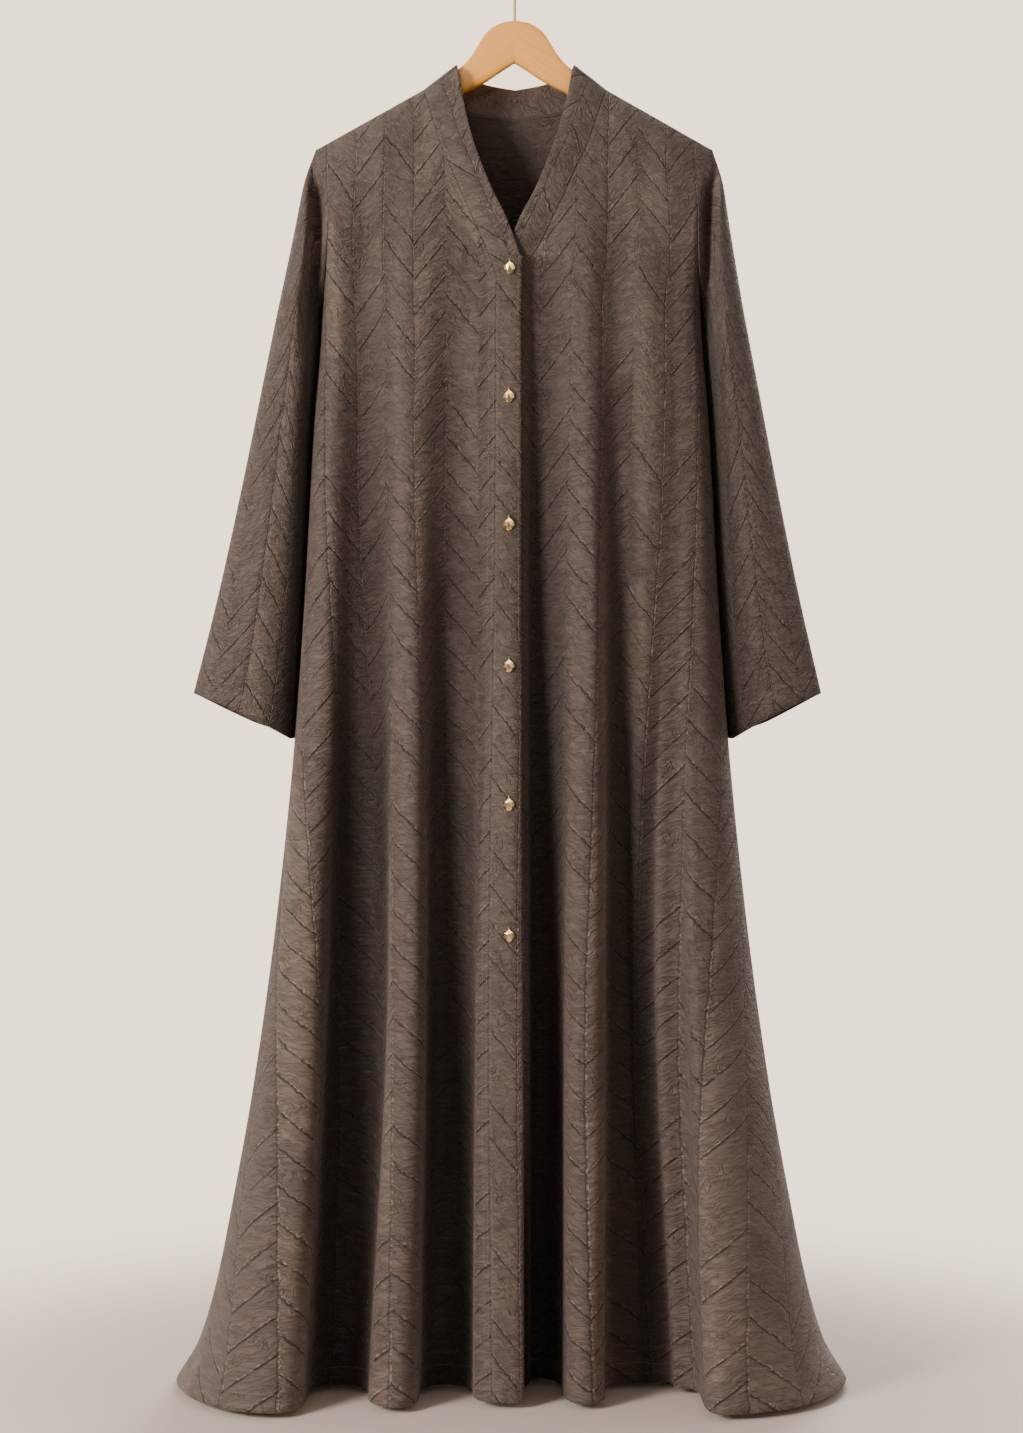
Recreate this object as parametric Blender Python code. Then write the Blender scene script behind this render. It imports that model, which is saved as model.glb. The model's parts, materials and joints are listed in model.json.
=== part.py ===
"""A long abaya, buttoned down the front, on a wooden hanger. Metres, +Z up, front towards -Y.

The origin is the inside of the hook's bend, where a rail carries the hanger. The garment is worked
out in its own frame: "across" is the distance from its centre line, "drop" the distance below the
point where neck and shoulder meet, and "out" the distance in front of the plane of the hanger.
Each piece of cloth is a grid of points on its outer side, and its wall lies behind those points.
"""
import math
from collections import namedtuple

import bmesh
import bpy
from mathutils import Vector

WALL = 0.0016
SEAM_GAP = 0.0003
NECK_Z = -0.160
CENTRE_SHIFT = -0.0037
LEAN_AT_NECK = 0.0038
LEAN_ENDS = 0.25

HEM = 1.423
SHOULDER_ROLL = 0.045
SECTION_POWER = 2.6
SIDE_POWER = 1.85
UNDERARM = 0.2296
UNDERLAP = 0.0032
SLEEVE_CLEARANCE = 0.0042

Point = namedtuple("Point", "across drop")
NECK_POINT = Point(0.1015, -0.0034)
SHOULDER_TIP = Point(0.2198, 0.0632)

# The rows of points from the shoulder down: where each starts at the neck and ends at the armhole.
Row = namedtuple("Row", "neck_drop armhole_drop")
TOP_ROWS = [
    Row(-0.0034, 0.0632),
    Row(-0.0008, 0.0656),
    Row(0.0062, 0.0725),
    Row(0.0200, 0.0860),
    Row(0.0430, 0.1060),
    Row(0.0720, 0.1310),
    Row(0.1080, 0.1600),
    Row(0.1480, 0.1890),
    Row(0.1875, 0.2140),
    Row(0.2200, 0.2296),
    Row(0.2580, 0.2620),
]
LEVEL_START = 0.300
LEVEL_ROWS = 11

Edge = namedtuple("Edge", "drop across")
SIDE_EDGE = [
    Edge(0.0632, 0.2198),
    Edge(0.0820, 0.2137),
    Edge(0.1120, 0.2048),
    Edge(0.1490, 0.2030),
    Edge(0.1900, 0.2046),
    Edge(0.2296, 0.2088),
    Edge(0.2752, 0.2115),
    Edge(0.3629, 0.2188),
    Edge(0.5671, 0.2298),
    Edge(0.7292, 0.2414),
    Edge(0.9179, 0.2608),
    Edge(1.0955, 0.2852),
    Edge(1.2287, 0.3090),
    Edge(1.3175, 0.3270),
    Edge(1.3819, 0.3462),
    Edge(1.4230, 0.3704),
]
NECK_SEAM = [
    Edge(-0.0034, 0.1015),
    Edge(0.0243, 0.0930),
    Edge(0.0604, 0.0815),
    Edge(0.0892, 0.0685),
    Edge(0.1187, 0.0560),
    Edge(0.1520, 0.0403),
    Edge(0.1875, 0.0250),
    Edge(0.2100, 0.0172),
]
PLACKET_SEAM_HEM = 0.0150
PLACKET_EDGE = -0.0105
PLACKET_EDGE_HEM = -0.0176
BAND_SEAM = 0.0104
BAND_EDGE = -0.0172

Depth = namedtuple("Depth", "drop front back")
DEPTHS = [
    Depth(-0.004, 0.020, 0.020),
    Depth(0.030, 0.026, 0.026),
    Depth(0.080, 0.034, 0.034),
    Depth(0.150, 0.041, 0.040),
    Depth(0.300, 0.047, 0.044),
    Depth(0.620, 0.058, 0.054),
    Depth(0.930, 0.074, 0.070),
    Depth(1.423, 0.100, 0.096),
]
ARMHOLE_DEPTH = 0.030

# Where each fold runs, how far it stands out of the plain section, and the steps to the next fold.
FOLD_FADES_OUT = 0.08
FOLD_LEVELS = (0.22, 0.62, 0.93, HEM)
Fold = namedtuple("Fold", "name across rise steps")
OVER_FOLDS = [
    Fold("placket edge", (-0.030, -0.030, -0.030, -0.034), (0.001, 0.004, 0.008, 0.010), 2),
    Fold("placket", (0.002, 0.002, 0.004, 0.006), (0.004, 0.012, 0.019, 0.024), 4),
    Fold("inner valley", (0.066, 0.077, 0.078, 0.074), (-0.006, -0.019, -0.029, -0.052), 4),
    Fold("inner ridge", (0.116, 0.119, 0.118, 0.108), (0.007, 0.019, 0.028, 0.044), 4),
    Fold("outer valley", (0.162, 0.169, 0.173, 0.174), (-0.009, -0.024, -0.031, -0.029), 4),
    Fold("outer ridge", (0.196, 0.212, 0.236, 0.241), (0.004, 0.013, 0.034, 0.083), 6),
]
UNDER_FOLDS = [
    Fold("band edge", (-0.030, -0.030, -0.030, -0.020), (0.001, 0.009, 0.014, -0.040), 1),
    Fold("band", (0.0125, 0.0125, 0.012, 0.008), (0.001, 0.009, 0.014, -0.050), 3),
    Fold("inner valley", (0.034, 0.036, 0.038, 0.038), (-0.006, -0.017, -0.033, -0.078), 4),
    Fold("inner ridge", (0.084, 0.082, 0.080, 0.092), (0.006, 0.018, 0.027, 0.026), 4),
    Fold("middle valley", (0.121, 0.117, 0.124, 0.146), (-0.006, -0.015, -0.024, -0.040), 2),
    Fold("middle ridge", (0.157, 0.158, 0.160, 0.167), (0.003, 0.008, -0.002, -0.029), 2),
    Fold("outer valley", (0.178, 0.183, 0.184, 0.190), (-0.003, -0.006, -0.014, -0.038), 3),
    Fold("outer ridge", (0.198, 0.210, 0.228, 0.240), (0.004, 0.013, 0.034, 0.083), 6),
]
BACK_FOLDS = [
    Fold("right side", (-0.194, -0.208, -0.226, -0.250), (0.003, 0.010, 0.028, 0.066), 3),
    Fold("right valley", (-0.150, -0.156, -0.162, -0.176), (-0.004, -0.016, -0.024, -0.034), 4),
    Fold("right ridge", (-0.104, -0.106, -0.108, -0.116), (0.005, 0.017, 0.028, 0.040), 4),
    Fold("right middle", (-0.058, -0.056, -0.058, -0.060), (-0.003, -0.014, -0.024, -0.038), 4),
    Fold("centre ridge", (-0.010, -0.008, -0.004, 0.002), (0.003, 0.014, 0.024, 0.030), 4),
    Fold("left middle", (0.046, 0.048, 0.050, 0.060), (-0.003, -0.015, -0.024, -0.042), 5),
    Fold("left ridge", (0.102, 0.098, 0.100, 0.112), (0.005, 0.016, 0.027, 0.042), 4),
    Fold("left valley", (0.148, 0.150, 0.158, 0.178), (-0.004, -0.014, -0.022, -0.032), 3),
    Fold("left side", (0.196, 0.206, 0.228, 0.252), (0.003, 0.010, 0.028, 0.064), 6),
]

# The collar from its front end over the shoulder to the centre of the back. Its free edge stands
# off the cloth's own section by edge_lift.
Station = namedtuple("Station", "name seam_across seam_drop edge_across edge_drop edge_lift")
COLLAR_FRONT = [
    Station("shoulder", 0.1015, -0.0034, 0.0660, -0.0310, 0.0000),
    Station("before the arm", 0.0998, 0.0020, 0.0646, -0.0268, 0.0140),
    Station("rise", 0.0930, 0.0243, 0.0568, 0.0150, 0.0060),
    Station("chest", 0.0815, 0.0604, 0.0475, 0.0520, 0.0070),
    Station("high in the V", 0.0685, 0.0892, 0.0385, 0.0785, 0.0065),
    Station("middle of the V", 0.0560, 0.1187, 0.0250, 0.1110, 0.0050),
    Station("low in the V", 0.0403, 0.1520, 0.0085, 0.1440, 0.0030),
    Station("front end", 0.0250, 0.1875, -0.0085, 0.1875, 0.0000),
]
COLLAR_BACK = [
    Station("centre back", 0.0000, 0.0260, 0.0000, -0.0105, 0.0170),
    Station("back", 0.0500, 0.0185, 0.0320, -0.0160, 0.0160),
    Station("behind shoulder", 0.0850, 0.0075, 0.0550, -0.0240, 0.0170),
    Station("behind the arm", 0.0985, 0.0005, 0.0640, -0.0285, 0.0146),
    Station("shoulder", 0.1015, -0.0034, 0.0660, -0.0310, 0.0000),
]
COLLAR_STEPS = 3

Ring = namedtuple("Ring", "name outer_across outer_drop inner_drop depth")
SLEEVE = [
    Ring("armhole", 0.2198, 0.0632, 0.2296, 0.030),
    Ring("cap", 0.2309, 0.0965, 0.2500, 0.034),
    Ring("below the cap", 0.2410, 0.1520, 0.2820, 0.037),
    Ring("upper arm", 0.2530, 0.2160, 0.3300, 0.038),
    Ring("above the elbow", 0.2753, 0.3296, 0.4300, 0.037),
    Ring("elbow", 0.2983, 0.4460, 0.5300, 0.036),
    Ring("forearm", 0.3230, 0.5626, 0.6300, 0.034),
    Ring("cuff", 0.3478, 0.6660, 0.7160, 0.031),
]
SLEEVE_RINGS = 14
SLEEVE_SWAY = -0.0045
VALLEY_START = 0.010
VALLEY_WIDTH = 0.016
VALLEY_FLOOR = 0.22

ARM_HALF_THICK = 0.0065
Arm = namedtuple("Arm", "across top bottom squareness")
ARM = [
    Arm(0.0000, -0.0799, -0.0329, 5.0),
    Arm(0.0131, -0.0778, -0.0290, 5.0),
    Arm(0.0242, -0.0727, -0.0212, 5.0),
    Arm(0.0331, -0.0648, -0.0147, 5.0),
    Arm(0.0397, -0.0545, -0.0104, 5.0),
    Arm(0.0464, -0.0434, -0.0061, 5.0),
    Arm(0.0547, -0.0330, -0.0007, 4.5),
    Arm(0.0653, -0.0241, 0.0060, 3.5),
    Arm(0.0850, -0.0103, 0.0180, 2.6),
    Arm(0.1015, 0.0006, 0.0275, 2.4),
    Arm(0.1300, 0.0163, 0.0425, 2.4),
    Arm(0.1600, 0.0332, 0.0570, 2.4),
    Arm(0.1850, 0.0473, 0.0680, 2.4),
    Arm(0.1930, 0.0528, 0.0690, 2.4),
    Arm(0.1965, 0.0580, 0.0655, 2.4),
]
WIRE = 0.0031
HOOK_INNER_RADIUS = 0.021
HOOK_START = -58.0
HOOK_END = 218.0
SHANK_BENDS = -0.062

BUTTON_DROPS = (0.2006, 0.3418, 0.4816, 0.6359, 0.7858, 0.9267)
BUTTON_ACROSS = 0.0030
BUTTON_HALF_WIDTH = 0.0063
BUTTON_HALF_HEIGHT = 0.0086
BUTTON_DEPTH = 0.0062


def ease(value):
    """0 below 0, 1 above 1, and a smooth step between."""
    value = min(max(value, 0.0), 1.0)
    return value * value * (3.0 - 2.0 * value)


def mix(start, end, share):
    return start + (end - start) * share


def through(knots, values, at):
    """A smooth curve through the values, which never swings past them between two knots."""
    if at <= knots[0]:
        return values[0]
    if at >= knots[-1]:
        return values[-1]
    count = len(knots)
    rates = [(values[i + 1] - values[i]) / (knots[i + 1] - knots[i]) for i in range(count - 1)]
    slopes = [rates[0]] + [0.0] * (count - 2) + [rates[-1]]
    for i in range(1, count - 1):
        if rates[i - 1] * rates[i] > 0.0:
            slopes[i] = 2.0 * rates[i - 1] * rates[i] / (rates[i - 1] + rates[i])
    i = max(k for k in range(count - 1) if knots[k] <= at)
    width = knots[i + 1] - knots[i]
    t = (at - knots[i]) / width
    start = values[i] * (1.0 + 2.0 * t) * (1.0 - t) ** 2 + slopes[i] * width * t * (1.0 - t) ** 2
    end = values[i + 1] * t * t * (3.0 - 2.0 * t) - slopes[i + 1] * width * t * t * (1.0 - t)
    return start + end


def column(rows, key, value, at):
    return through([getattr(r, key) for r in rows], [getattr(r, value) for r in rows], at)


def side_edge(drop):
    return column(SIDE_EDGE, "drop", "across", drop)


def shoulder_line(across):
    slope = (SHOULDER_TIP.drop - NECK_POINT.drop) / (SHOULDER_TIP.across - NECK_POINT.across)
    return NECK_POINT.drop + slope * (abs(across) - NECK_POINT.across)


def armhole_rim(drop):
    """How far the armhole stands out of the hanger's plane: not at all at its two ends."""
    share = (drop - SHOULDER_TIP.drop) / (UNDERARM - SHOULDER_TIP.drop)
    if not 0.0 < share < 1.0:
        return 0.0
    return ARMHOLE_DEPTH * math.sin(math.pi * share) ** 0.7


def roll(across, drop):
    """The cloth rolls over the shoulder line: 0 on it, 1 once it hangs."""
    below = min(max((drop - shoulder_line(across)) / SHOULDER_ROLL, 0.0), 1.0)
    return math.sqrt(1.0 - (1.0 - below) ** 2)


def plain_out(across, drop, side):
    """The section without folds, a flattened round that closes at the side seam."""
    rim = armhole_rim(drop)
    depth = column(DEPTHS, "drop", side, drop)
    power = mix(1.0 / SECTION_POWER, 1.0, rim / ARMHOLE_DEPTH)
    share = min(abs(across) / side_edge(drop), 1.0)
    return rim + (depth - rim) * (1.0 - share**SECTION_POWER) ** power


def fold_across(fold, drop):
    return through(FOLD_LEVELS, fold.across, drop)


def fold_rise(fold, drop):
    fade = ease((drop - FOLD_FADES_OUT) / (FOLD_LEVELS[0] - FOLD_FADES_OUT))
    return through(FOLD_LEVELS, fold.rise, drop) * fade


def side_turn(fold, place, drop, side):
    """From the last fold the cloth turns back to the side seam or the armhole."""
    start = fold_across(fold, drop)
    end = math.copysign(side_edge(drop), start)
    angle = 0.5 * math.pi * min(max((place - start) / (end - start), 0.0), 1.0)
    power = 2.0 / SIDE_POWER
    rim = armhole_rim(drop)
    crest = plain_out(start, drop, side) + fold_rise(fold, drop)
    turned_across = mix(start, end, math.sin(angle) ** power)
    turned_out = rim + (crest - rim) * max(math.cos(angle), 0.0) ** power
    plain = plain_out(place, drop, side) + fold_rise(fold, drop) * math.cos(angle)
    free = ease((drop - UNDERARM) / 0.10)
    return mix(place, turned_across, free), mix(plain, turned_out, free)


def folded(place, drop, folds, side):
    """Where the cloth is at a place of its section: across the body, and out of the hanger's plane."""
    centres = [fold_across(f, drop) for f in folds]
    if place >= centres[-1]:
        across, out = side_turn(folds[-1], place, drop, side)
    elif place <= centres[0] and folds is BACK_FOLDS:
        across, out = side_turn(folds[0], place, drop, side)
    else:
        i = max([k for k in range(len(folds) - 1) if centres[k] <= place], default=0)
        width = centres[i + 1] - centres[i]
        share = max((place - centres[i]) / width, 0.0)
        steep = 0.95 * ease((drop - 0.3) / 0.9)
        across = place + width * steep * math.sin(2.0 * math.pi * share) / (2.0 * math.pi)
        wave = 0.5 - 0.5 * math.cos(math.pi * share)
        rise = mix(fold_rise(folds[i], drop), fold_rise(folds[i + 1], drop), wave)
        out = plain_out(across, drop, side) + rise
    return across, max(out * roll(across, drop), 0.5 * SEAM_GAP)


def tuck(across, drop):
    """How far the under front lies behind the over front, near the centre line."""
    return UNDERLAP * ease((drop - 0.06) / 0.08) * (1.0 - ease((across - 0.02) / 0.06))


def over_point(place, drop):
    return folded(place, drop, OVER_FOLDS, "front")


def under_point(place, drop):
    across, out = folded(place, drop, UNDER_FOLDS, "front")
    return across, out - tuck(place, drop)


def back_point(place, drop):
    return folded(place, drop, BACK_FOLDS, "back")


def placket_seam(drop):
    return column(NECK_SEAM, "drop", "across", drop) + mix(
        0.0, PLACKET_SEAM_HEM - NECK_SEAM[-1].across, ease((drop - 0.8) / (HEM - 0.8))
    )


def band_seam(drop):
    return mix(column(NECK_SEAM, "drop", "across", drop), BAND_SEAM, ease((drop - 0.17) / 0.05))


def placket_edge(drop):
    return mix(PLACKET_EDGE, PLACKET_EDGE_HEM, ease((drop - 0.8) / (HEM - 0.8)))


def band_edge(drop):
    return BAND_EDGE


def place_point(across, out, drop):
    """A point of the garment, which hangs a little off centre on its hanger."""
    lean = LEAN_AT_NECK * max(1.0 - drop / LEAN_ENDS, 0.0)
    return Vector((across + lean, -out, -drop))


def level_rows():
    """Level rows from the chest to the hem, closer together towards the hem."""
    shares = [i / LEVEL_ROWS for i in range(LEVEL_ROWS + 1)]
    drops = [mix(LEVEL_START, HEM, s * (1.3 - 0.3 * s)) for s in shares]
    return [Row(drop, drop) for drop in drops]


def inward(out, drop_is_top=False):
    """The way a wall lies behind a neck seam: back from the chest, down from the shoulder."""
    back = min(abs(out) / 0.012, 1.0)
    return Vector((0.0, math.copysign(back, out), -(1.0 - back))).normalized()


def armhole_inward(point):
    """The way walls lie behind the armhole: towards its middle."""
    middle = -0.5 * (SHOULDER_TIP.drop + UNDERARM)
    return Vector((0.0, -point.y, 0.4 * (middle - point.z))).normalized()


def flat_inward(normal):
    """The way a wall lies at a side or shoulder seam: without leaving the seam's plane."""
    return Vector((-normal.x, 0.0, -normal.z)).normalized()


def fold_places(folds, start, end, drop):
    """Places from start to end across a section, so many from each fold to the next."""
    centres = [fold_across(f, drop) for f in folds]
    ahead = [k for k, centre in enumerate(centres) if centre > start + 0.004]
    knots = [start] + [centres[k] for k in ahead] + [end]
    steps = [folds[k - 1].steps for k in ahead] + [folds[-1].steps]
    places = []
    for before, after, count in zip(knots, knots[1:], steps):
        places += [mix(before, after, k / count) for k in range(count)]
    return places + [end]


def back_places(drop):
    half = side_edge(drop)
    first = fold_across(BACK_FOLDS[0], drop)
    turn = [mix(-half, first, k / 6) for k in range(6)]
    return turn + fold_places(BACK_FOLDS, first, half, drop)


def top_places():
    """The back's places along its top edge, one of them at each neck point."""
    scale = SHOULDER_TIP.across / side_edge(LEVEL_START)
    places = [scale * place for place in back_places(LEVEL_START)]
    for corner in (-NECK_POINT.across, NECK_POINT.across):
        nearest = min(range(len(places)), key=lambda k: abs(places[k] - corner))
        places[nearest] = corner
    return places


def back_top(across):
    """The back's top edge: the neck seam, then the shoulder seam."""
    if abs(across) >= NECK_POINT.across:
        return shoulder_line(across)
    return column(COLLAR_BACK, "seam_across", "seam_drop", abs(across)) + SEAM_GAP


def front_grid(folds, seam, mirror, point):
    """A front: from its neck seam and band seam to the armhole and side seam."""
    rows = []
    for row in TOP_ROWS + level_rows():
        plan = max(row.neck_drop, LEVEL_START)
        places = fold_places(folds, seam(plan), side_edge(plan), plan)
        inner = seam(row.neck_drop) + 0.5 * SEAM_GAP
        outer = side_edge(row.armhole_drop)
        points = []
        for place in places:
            share = (place - places[0]) / (places[-1] - places[0])
            drop = mix(row.neck_drop, row.armhole_drop, share)
            across, out = point(mix(inner, outer, share), drop)
            points.append(place_point(mirror * across, out, drop))
        rows.append(points)
    return rows


def front_rims(rows, normals):
    """The way the wall lies at each point of a front's edge."""
    last = len(rows[0]) - 1
    underarm = len([r for r in TOP_ROWS if r.armhole_drop <= UNDERARM]) - 1
    rims = {}
    for i, row in enumerate(rows):
        rims[i, 0] = inward(-row[0].y)
        rims[i, last] = armhole_inward(row[last]) if i <= underarm else flat_inward(normals[i][last])
    for k in range(last + 1):
        rims[0, k] = Vector((0.0, 0.0, -1.0))
    return rims


def back_grid():
    tops = top_places()
    levels = back_places(LEVEL_START)
    rows = []
    for row in TOP_ROWS:
        low = (row.armhole_drop - SHOULDER_TIP.drop) / (LEVEL_START - SHOULDER_TIP.drop)
        points = []
        for top, level in zip(tops, levels):
            share = mix(top / SHOULDER_TIP.across, level / side_edge(LEVEL_START), low)
            drop = mix(back_top(top), LEVEL_START, low)
            across, out = back_point(share * side_edge(row.armhole_drop), drop)
            points.append(place_point(across, -out, drop))
        rows.append(points)
    for row in level_rows():
        found = [back_point(place, row.neck_drop) for place in back_places(row.neck_drop)]
        rows.append([place_point(across, -out, row.neck_drop) for across, out in found])
    return rows


def back_rims(rows, normals):
    last = len(rows[0]) - 1
    underarm = len([r for r in TOP_ROWS if r.armhole_drop <= UNDERARM]) - 1
    rims = {}
    for i, row in enumerate(rows):
        for k in (0, last):
            rims[i, k] = armhole_inward(row[k]) if i <= underarm else flat_inward(normals[i][k])
    for k, point in enumerate(rows[0]):
        rims[0, k] = inward(-point.y)
    return rims


def ribbon_grid(seam, edge, point, mirror):
    """A straight band from its seam to its free edge, from the collar's end to the hem."""
    end = COLLAR_FRONT[-1].seam_drop
    drops = [r.neck_drop for r in TOP_ROWS + level_rows() if r.neck_drop >= end]
    drops[0] += SEAM_GAP
    rows = []
    for drop in drops:
        seam_place = seam(drop) - 0.5 * SEAM_GAP
        places = [mix(seam_place, edge(drop), k / 3) for k in range(4)]
        found = [point(place, drop) for place in places]
        rows.append([place_point(mirror * across, out, drop) for across, out in found])
    return rows


def ribbon_rims(rows, normals):
    return {(i, k): Vector((0.0, 1.0, 0.0)) for i in range(len(rows)) for k in (0, 1, 2, 3)}


def collar_row(table, key, at, over):
    """A row of the collar, from its seam to its free edge, in front or behind."""
    seam = [column(table, key, name, at) for name in ("seam_across", "seam_drop")]
    if table is COLLAR_FRONT and not over:
        seam[0] = band_seam(at)
    edge = [column(table, key, name, at) for name in ("edge_across", "edge_drop")]
    lift = column(table, key, "edge_lift", at)
    if table is COLLAR_BACK:
        seam_out = -back_point(*seam)[1]
        edge_out = -back_point(*edge)[1] - lift
    else:
        point = over_point if over else under_point
        seam_out = point(*seam)[1]
        edge_out = point(*edge)[1] + lift
    row = []
    inset = 0.5 * SEAM_GAP / math.dist(seam, edge)
    for k in range(COLLAR_STEPS + 1):
        part = mix(inset, 1.0, k / COLLAR_STEPS)
        bow = math.copysign(0.0012, seam_out) * math.sin(math.pi * part)
        across = mix(seam[0], edge[0], part)
        out = mix(seam_out, edge_out, part) + bow
        row.append(place_point(-across if over else across, out, mix(seam[1], edge[1], part)))
    return row


def collar_grid():
    """The collar from the over front's end round the neck to the under front's end."""
    end = COLLAR_FRONT[-1].seam_drop
    front = [r.neck_drop for r in TOP_ROWS if r.neck_drop <= end]
    neck = NECK_POINT.across
    behind = sorted(abs(p) for p in top_places() if -neck < p < 0.0)
    rows = [collar_row(COLLAR_FRONT, "seam_drop", drop, True) for drop in reversed(front)]
    rows += [collar_row(COLLAR_BACK, "seam_across", at, True) for at in reversed(behind)]
    behind = sorted(p for p in top_places() if 0.0 <= p < neck)
    rows += [collar_row(COLLAR_BACK, "seam_across", at, False) for at in behind]
    rows += [collar_row(COLLAR_FRONT, "seam_drop", drop, False) for drop in front]
    return rows


def collar_rims(rows, normals):
    return {(i, 0): inward(-row[0].y) for i, row in enumerate(rows)}


def sleeve_point(run, toward, sign, mirror):
    """A point of a sleeve: run is 0 at the armhole and 1 at the cuff, toward 0 on its outer side."""
    knots = [i / (len(SLEEVE) - 1) for i in range(len(SLEEVE))]

    def at(value):
        return through(knots, [getattr(r, value) for r in SLEEVE], run)

    side = "front" if sign > 0 else "back"
    seam_drop = mix(SHOULDER_TIP.drop, UNDERARM, toward)
    seam_across = side_edge(seam_drop)
    seam_out = max(plain_out(seam_across, seam_drop, side) * roll(seam_across, seam_drop), 0.0)
    drop = mix(at("outer_drop"), at("inner_drop"), toward)
    inner_across = side_edge(at("inner_drop")) + SLEEVE_CLEARANCE * ease(run / 0.12)
    bend = seam_across - mix(SHOULDER_TIP.across, side_edge(UNDERARM), toward)
    across = mix(at("outer_across"), inner_across, toward) + bend * (1.0 - ease(run / 0.22))
    beyond = max(across - side_edge(drop), 0.0)
    strip = seam_out * (1.0 - ease(beyond / 0.013)) * (1.0 - ease((drop - 0.20) / 0.07))
    main = at("depth") * math.sin(math.acos(1.0 - 2.0 * toward)) ** (2.0 / 2.3)
    shallow = mix(VALLEY_FLOOR, 1.0, ease((beyond - VALLEY_START) / VALLEY_WIDTH))
    turned = main * shallow if sign > 0 else main
    hanging = max(mix(turned, main, ease((drop - 0.22) / 0.10)), strip)
    out = mix(seam_out, hanging, ease(run / 0.05))
    sway = SLEEVE_SWAY * run * run * (1.0 - toward)
    return place_point(mirror * (across + SEAM_GAP) + sway, sign * out, drop)


def sleeve_grid(mirror):
    """Rings of points from the armhole to the cuff, each down its front side and up its back side."""
    drops = [r.armhole_drop for r in TOP_ROWS if r.armhole_drop <= UNDERARM]
    down = [(d - drops[0]) / (drops[-1] - drops[0]) for d in drops]
    around = [(share, 1.0) for share in down] + [(share, -1.0) for share in down[-2:0:-1]]
    rows = []
    for i in range(SLEEVE_RINGS + 1):
        run = (i / SLEEVE_RINGS) ** 1.35
        rows.append([sleeve_point(run, toward, sign, mirror) for toward, sign in around])
    return rows


def sleeve_rims(rows, normals):
    return {(0, k): armhole_inward(point) for k, point in enumerate(rows[0])}


def material(name, colour, roughness, metallic=0.0):
    found = bpy.data.materials.new(name)
    found.use_nodes = True
    shader = found.node_tree.nodes["Principled BSDF"]
    shader.inputs["Base Color"].default_value = (*colour, 1.0)
    shader.inputs["Roughness"].default_value = roughness
    shader.inputs["Metallic"].default_value = metallic
    return found


def new_object(name, bm, surface, parent):
    bmesh.ops.recalc_face_normals(bm, faces=bm.faces[:])
    mesh = bpy.data.meshes.new(name)
    bm.to_mesh(mesh)
    bm.free()
    mesh.shade_smooth()
    mesh.set_sharp_from_angle(angle=math.radians(45))
    made = bpy.data.objects.new(name, mesh)
    made.data.materials.append(surface)
    bpy.context.scene.collection.objects.link(made)
    made.parent = parent
    return made


def grid_normals(rows, closed, facing):
    """The outward normal at each point of a grid, all on the side of facing at its middle."""
    count, width = len(rows), len(rows[0])
    normals = []
    for i in range(count):
        line = []
        for k in range(width):
            up, down = rows[max(i - 1, 0)][k], rows[min(i + 1, count - 1)][k]
            if closed:
                left, right = rows[i][k - 1], rows[i][(k + 1) % width]
            else:
                left, right = rows[i][max(k - 1, 0)], rows[i][min(k + 1, width - 1)]
            line.append((down - up).cross(right - left).normalized())
        normals.append(line)
    middle = normals[count // 2][width // 4]
    if middle.dot(facing) < 0.0:
        normals = [[-n for n in line] for line in normals]
    return normals


def cloth_piece(name, rows, find_rims, surface, parent, facing, closed=False):
    """A wall behind a grid of points. At its edges the wall lies the way find_rims says."""
    normals = grid_normals(rows, closed, Vector(facing))
    rims = find_rims(rows, normals)
    bm = bmesh.new()
    outer = [[bm.verts.new(p) for p in row] for row in rows]
    inner = []
    for i, row in enumerate(rows):
        way = [rims.get((i, k), -normals[i][k]) for k in range(len(row))]
        inner.append([bm.verts.new(p + WALL * w) for p, w in zip(row, way)])
    width = len(rows[0])
    steps = width if closed else width - 1
    for sheet in (outer, inner):
        for upper, lower in zip(sheet, sheet[1:]):
            for k in range(steps):
                after = (k + 1) % width
                bm.faces.new((upper[k], lower[k], lower[after], upper[after]))
    for i in (0, -1):
        for k in range(steps):
            after = (k + 1) % width
            bm.faces.new((outer[i][k], outer[i][after], inner[i][after], inner[i][k]))
    if not closed:
        for k in (0, -1):
            for i in range(len(rows) - 1):
                bm.faces.new((outer[i][k], outer[i + 1][k], inner[i + 1][k], inner[i][k]))
    return new_object(name, bm, surface, parent)


def lofted(bm, rings):
    """Faces from each ring to the next, and a face over each end."""
    count = len(rings[0])
    for ring, following in zip(rings, rings[1:]):
        for k in range(count):
            after = (k + 1) % count
            bm.faces.new((ring[k], ring[after], following[after], following[k]))
    bm.faces.new(rings[0])
    bm.faces.new(rings[-1])


def rounded(value, squareness):
    return math.copysign(abs(value) ** (2.0 / squareness), value)


def hanger_arm(name, mirror, surface, parent):
    """One arm, lofted through upright sections with rounded edges."""
    sides = 14
    bm = bmesh.new()
    rings = []
    for row in ARM:
        middle = -0.5 * (row.top + row.bottom)
        half = 0.5 * (row.bottom - row.top)
        thin = ARM_HALF_THICK * min(half / 0.0075, 1.0) ** 0.5
        ring = []
        for k in range(sides):
            angle = 2.0 * math.pi * (k + 0.5) / sides
            y = thin * rounded(math.cos(angle), row.squareness)
            z = middle + half * rounded(math.sin(angle), row.squareness)
            ring.append(bm.verts.new((mirror * (row.across + 0.5 * SEAM_GAP), y, z)))
        rings.append(ring)
    lofted(bm, rings)
    return new_object(name, bm, surface, parent)


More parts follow.
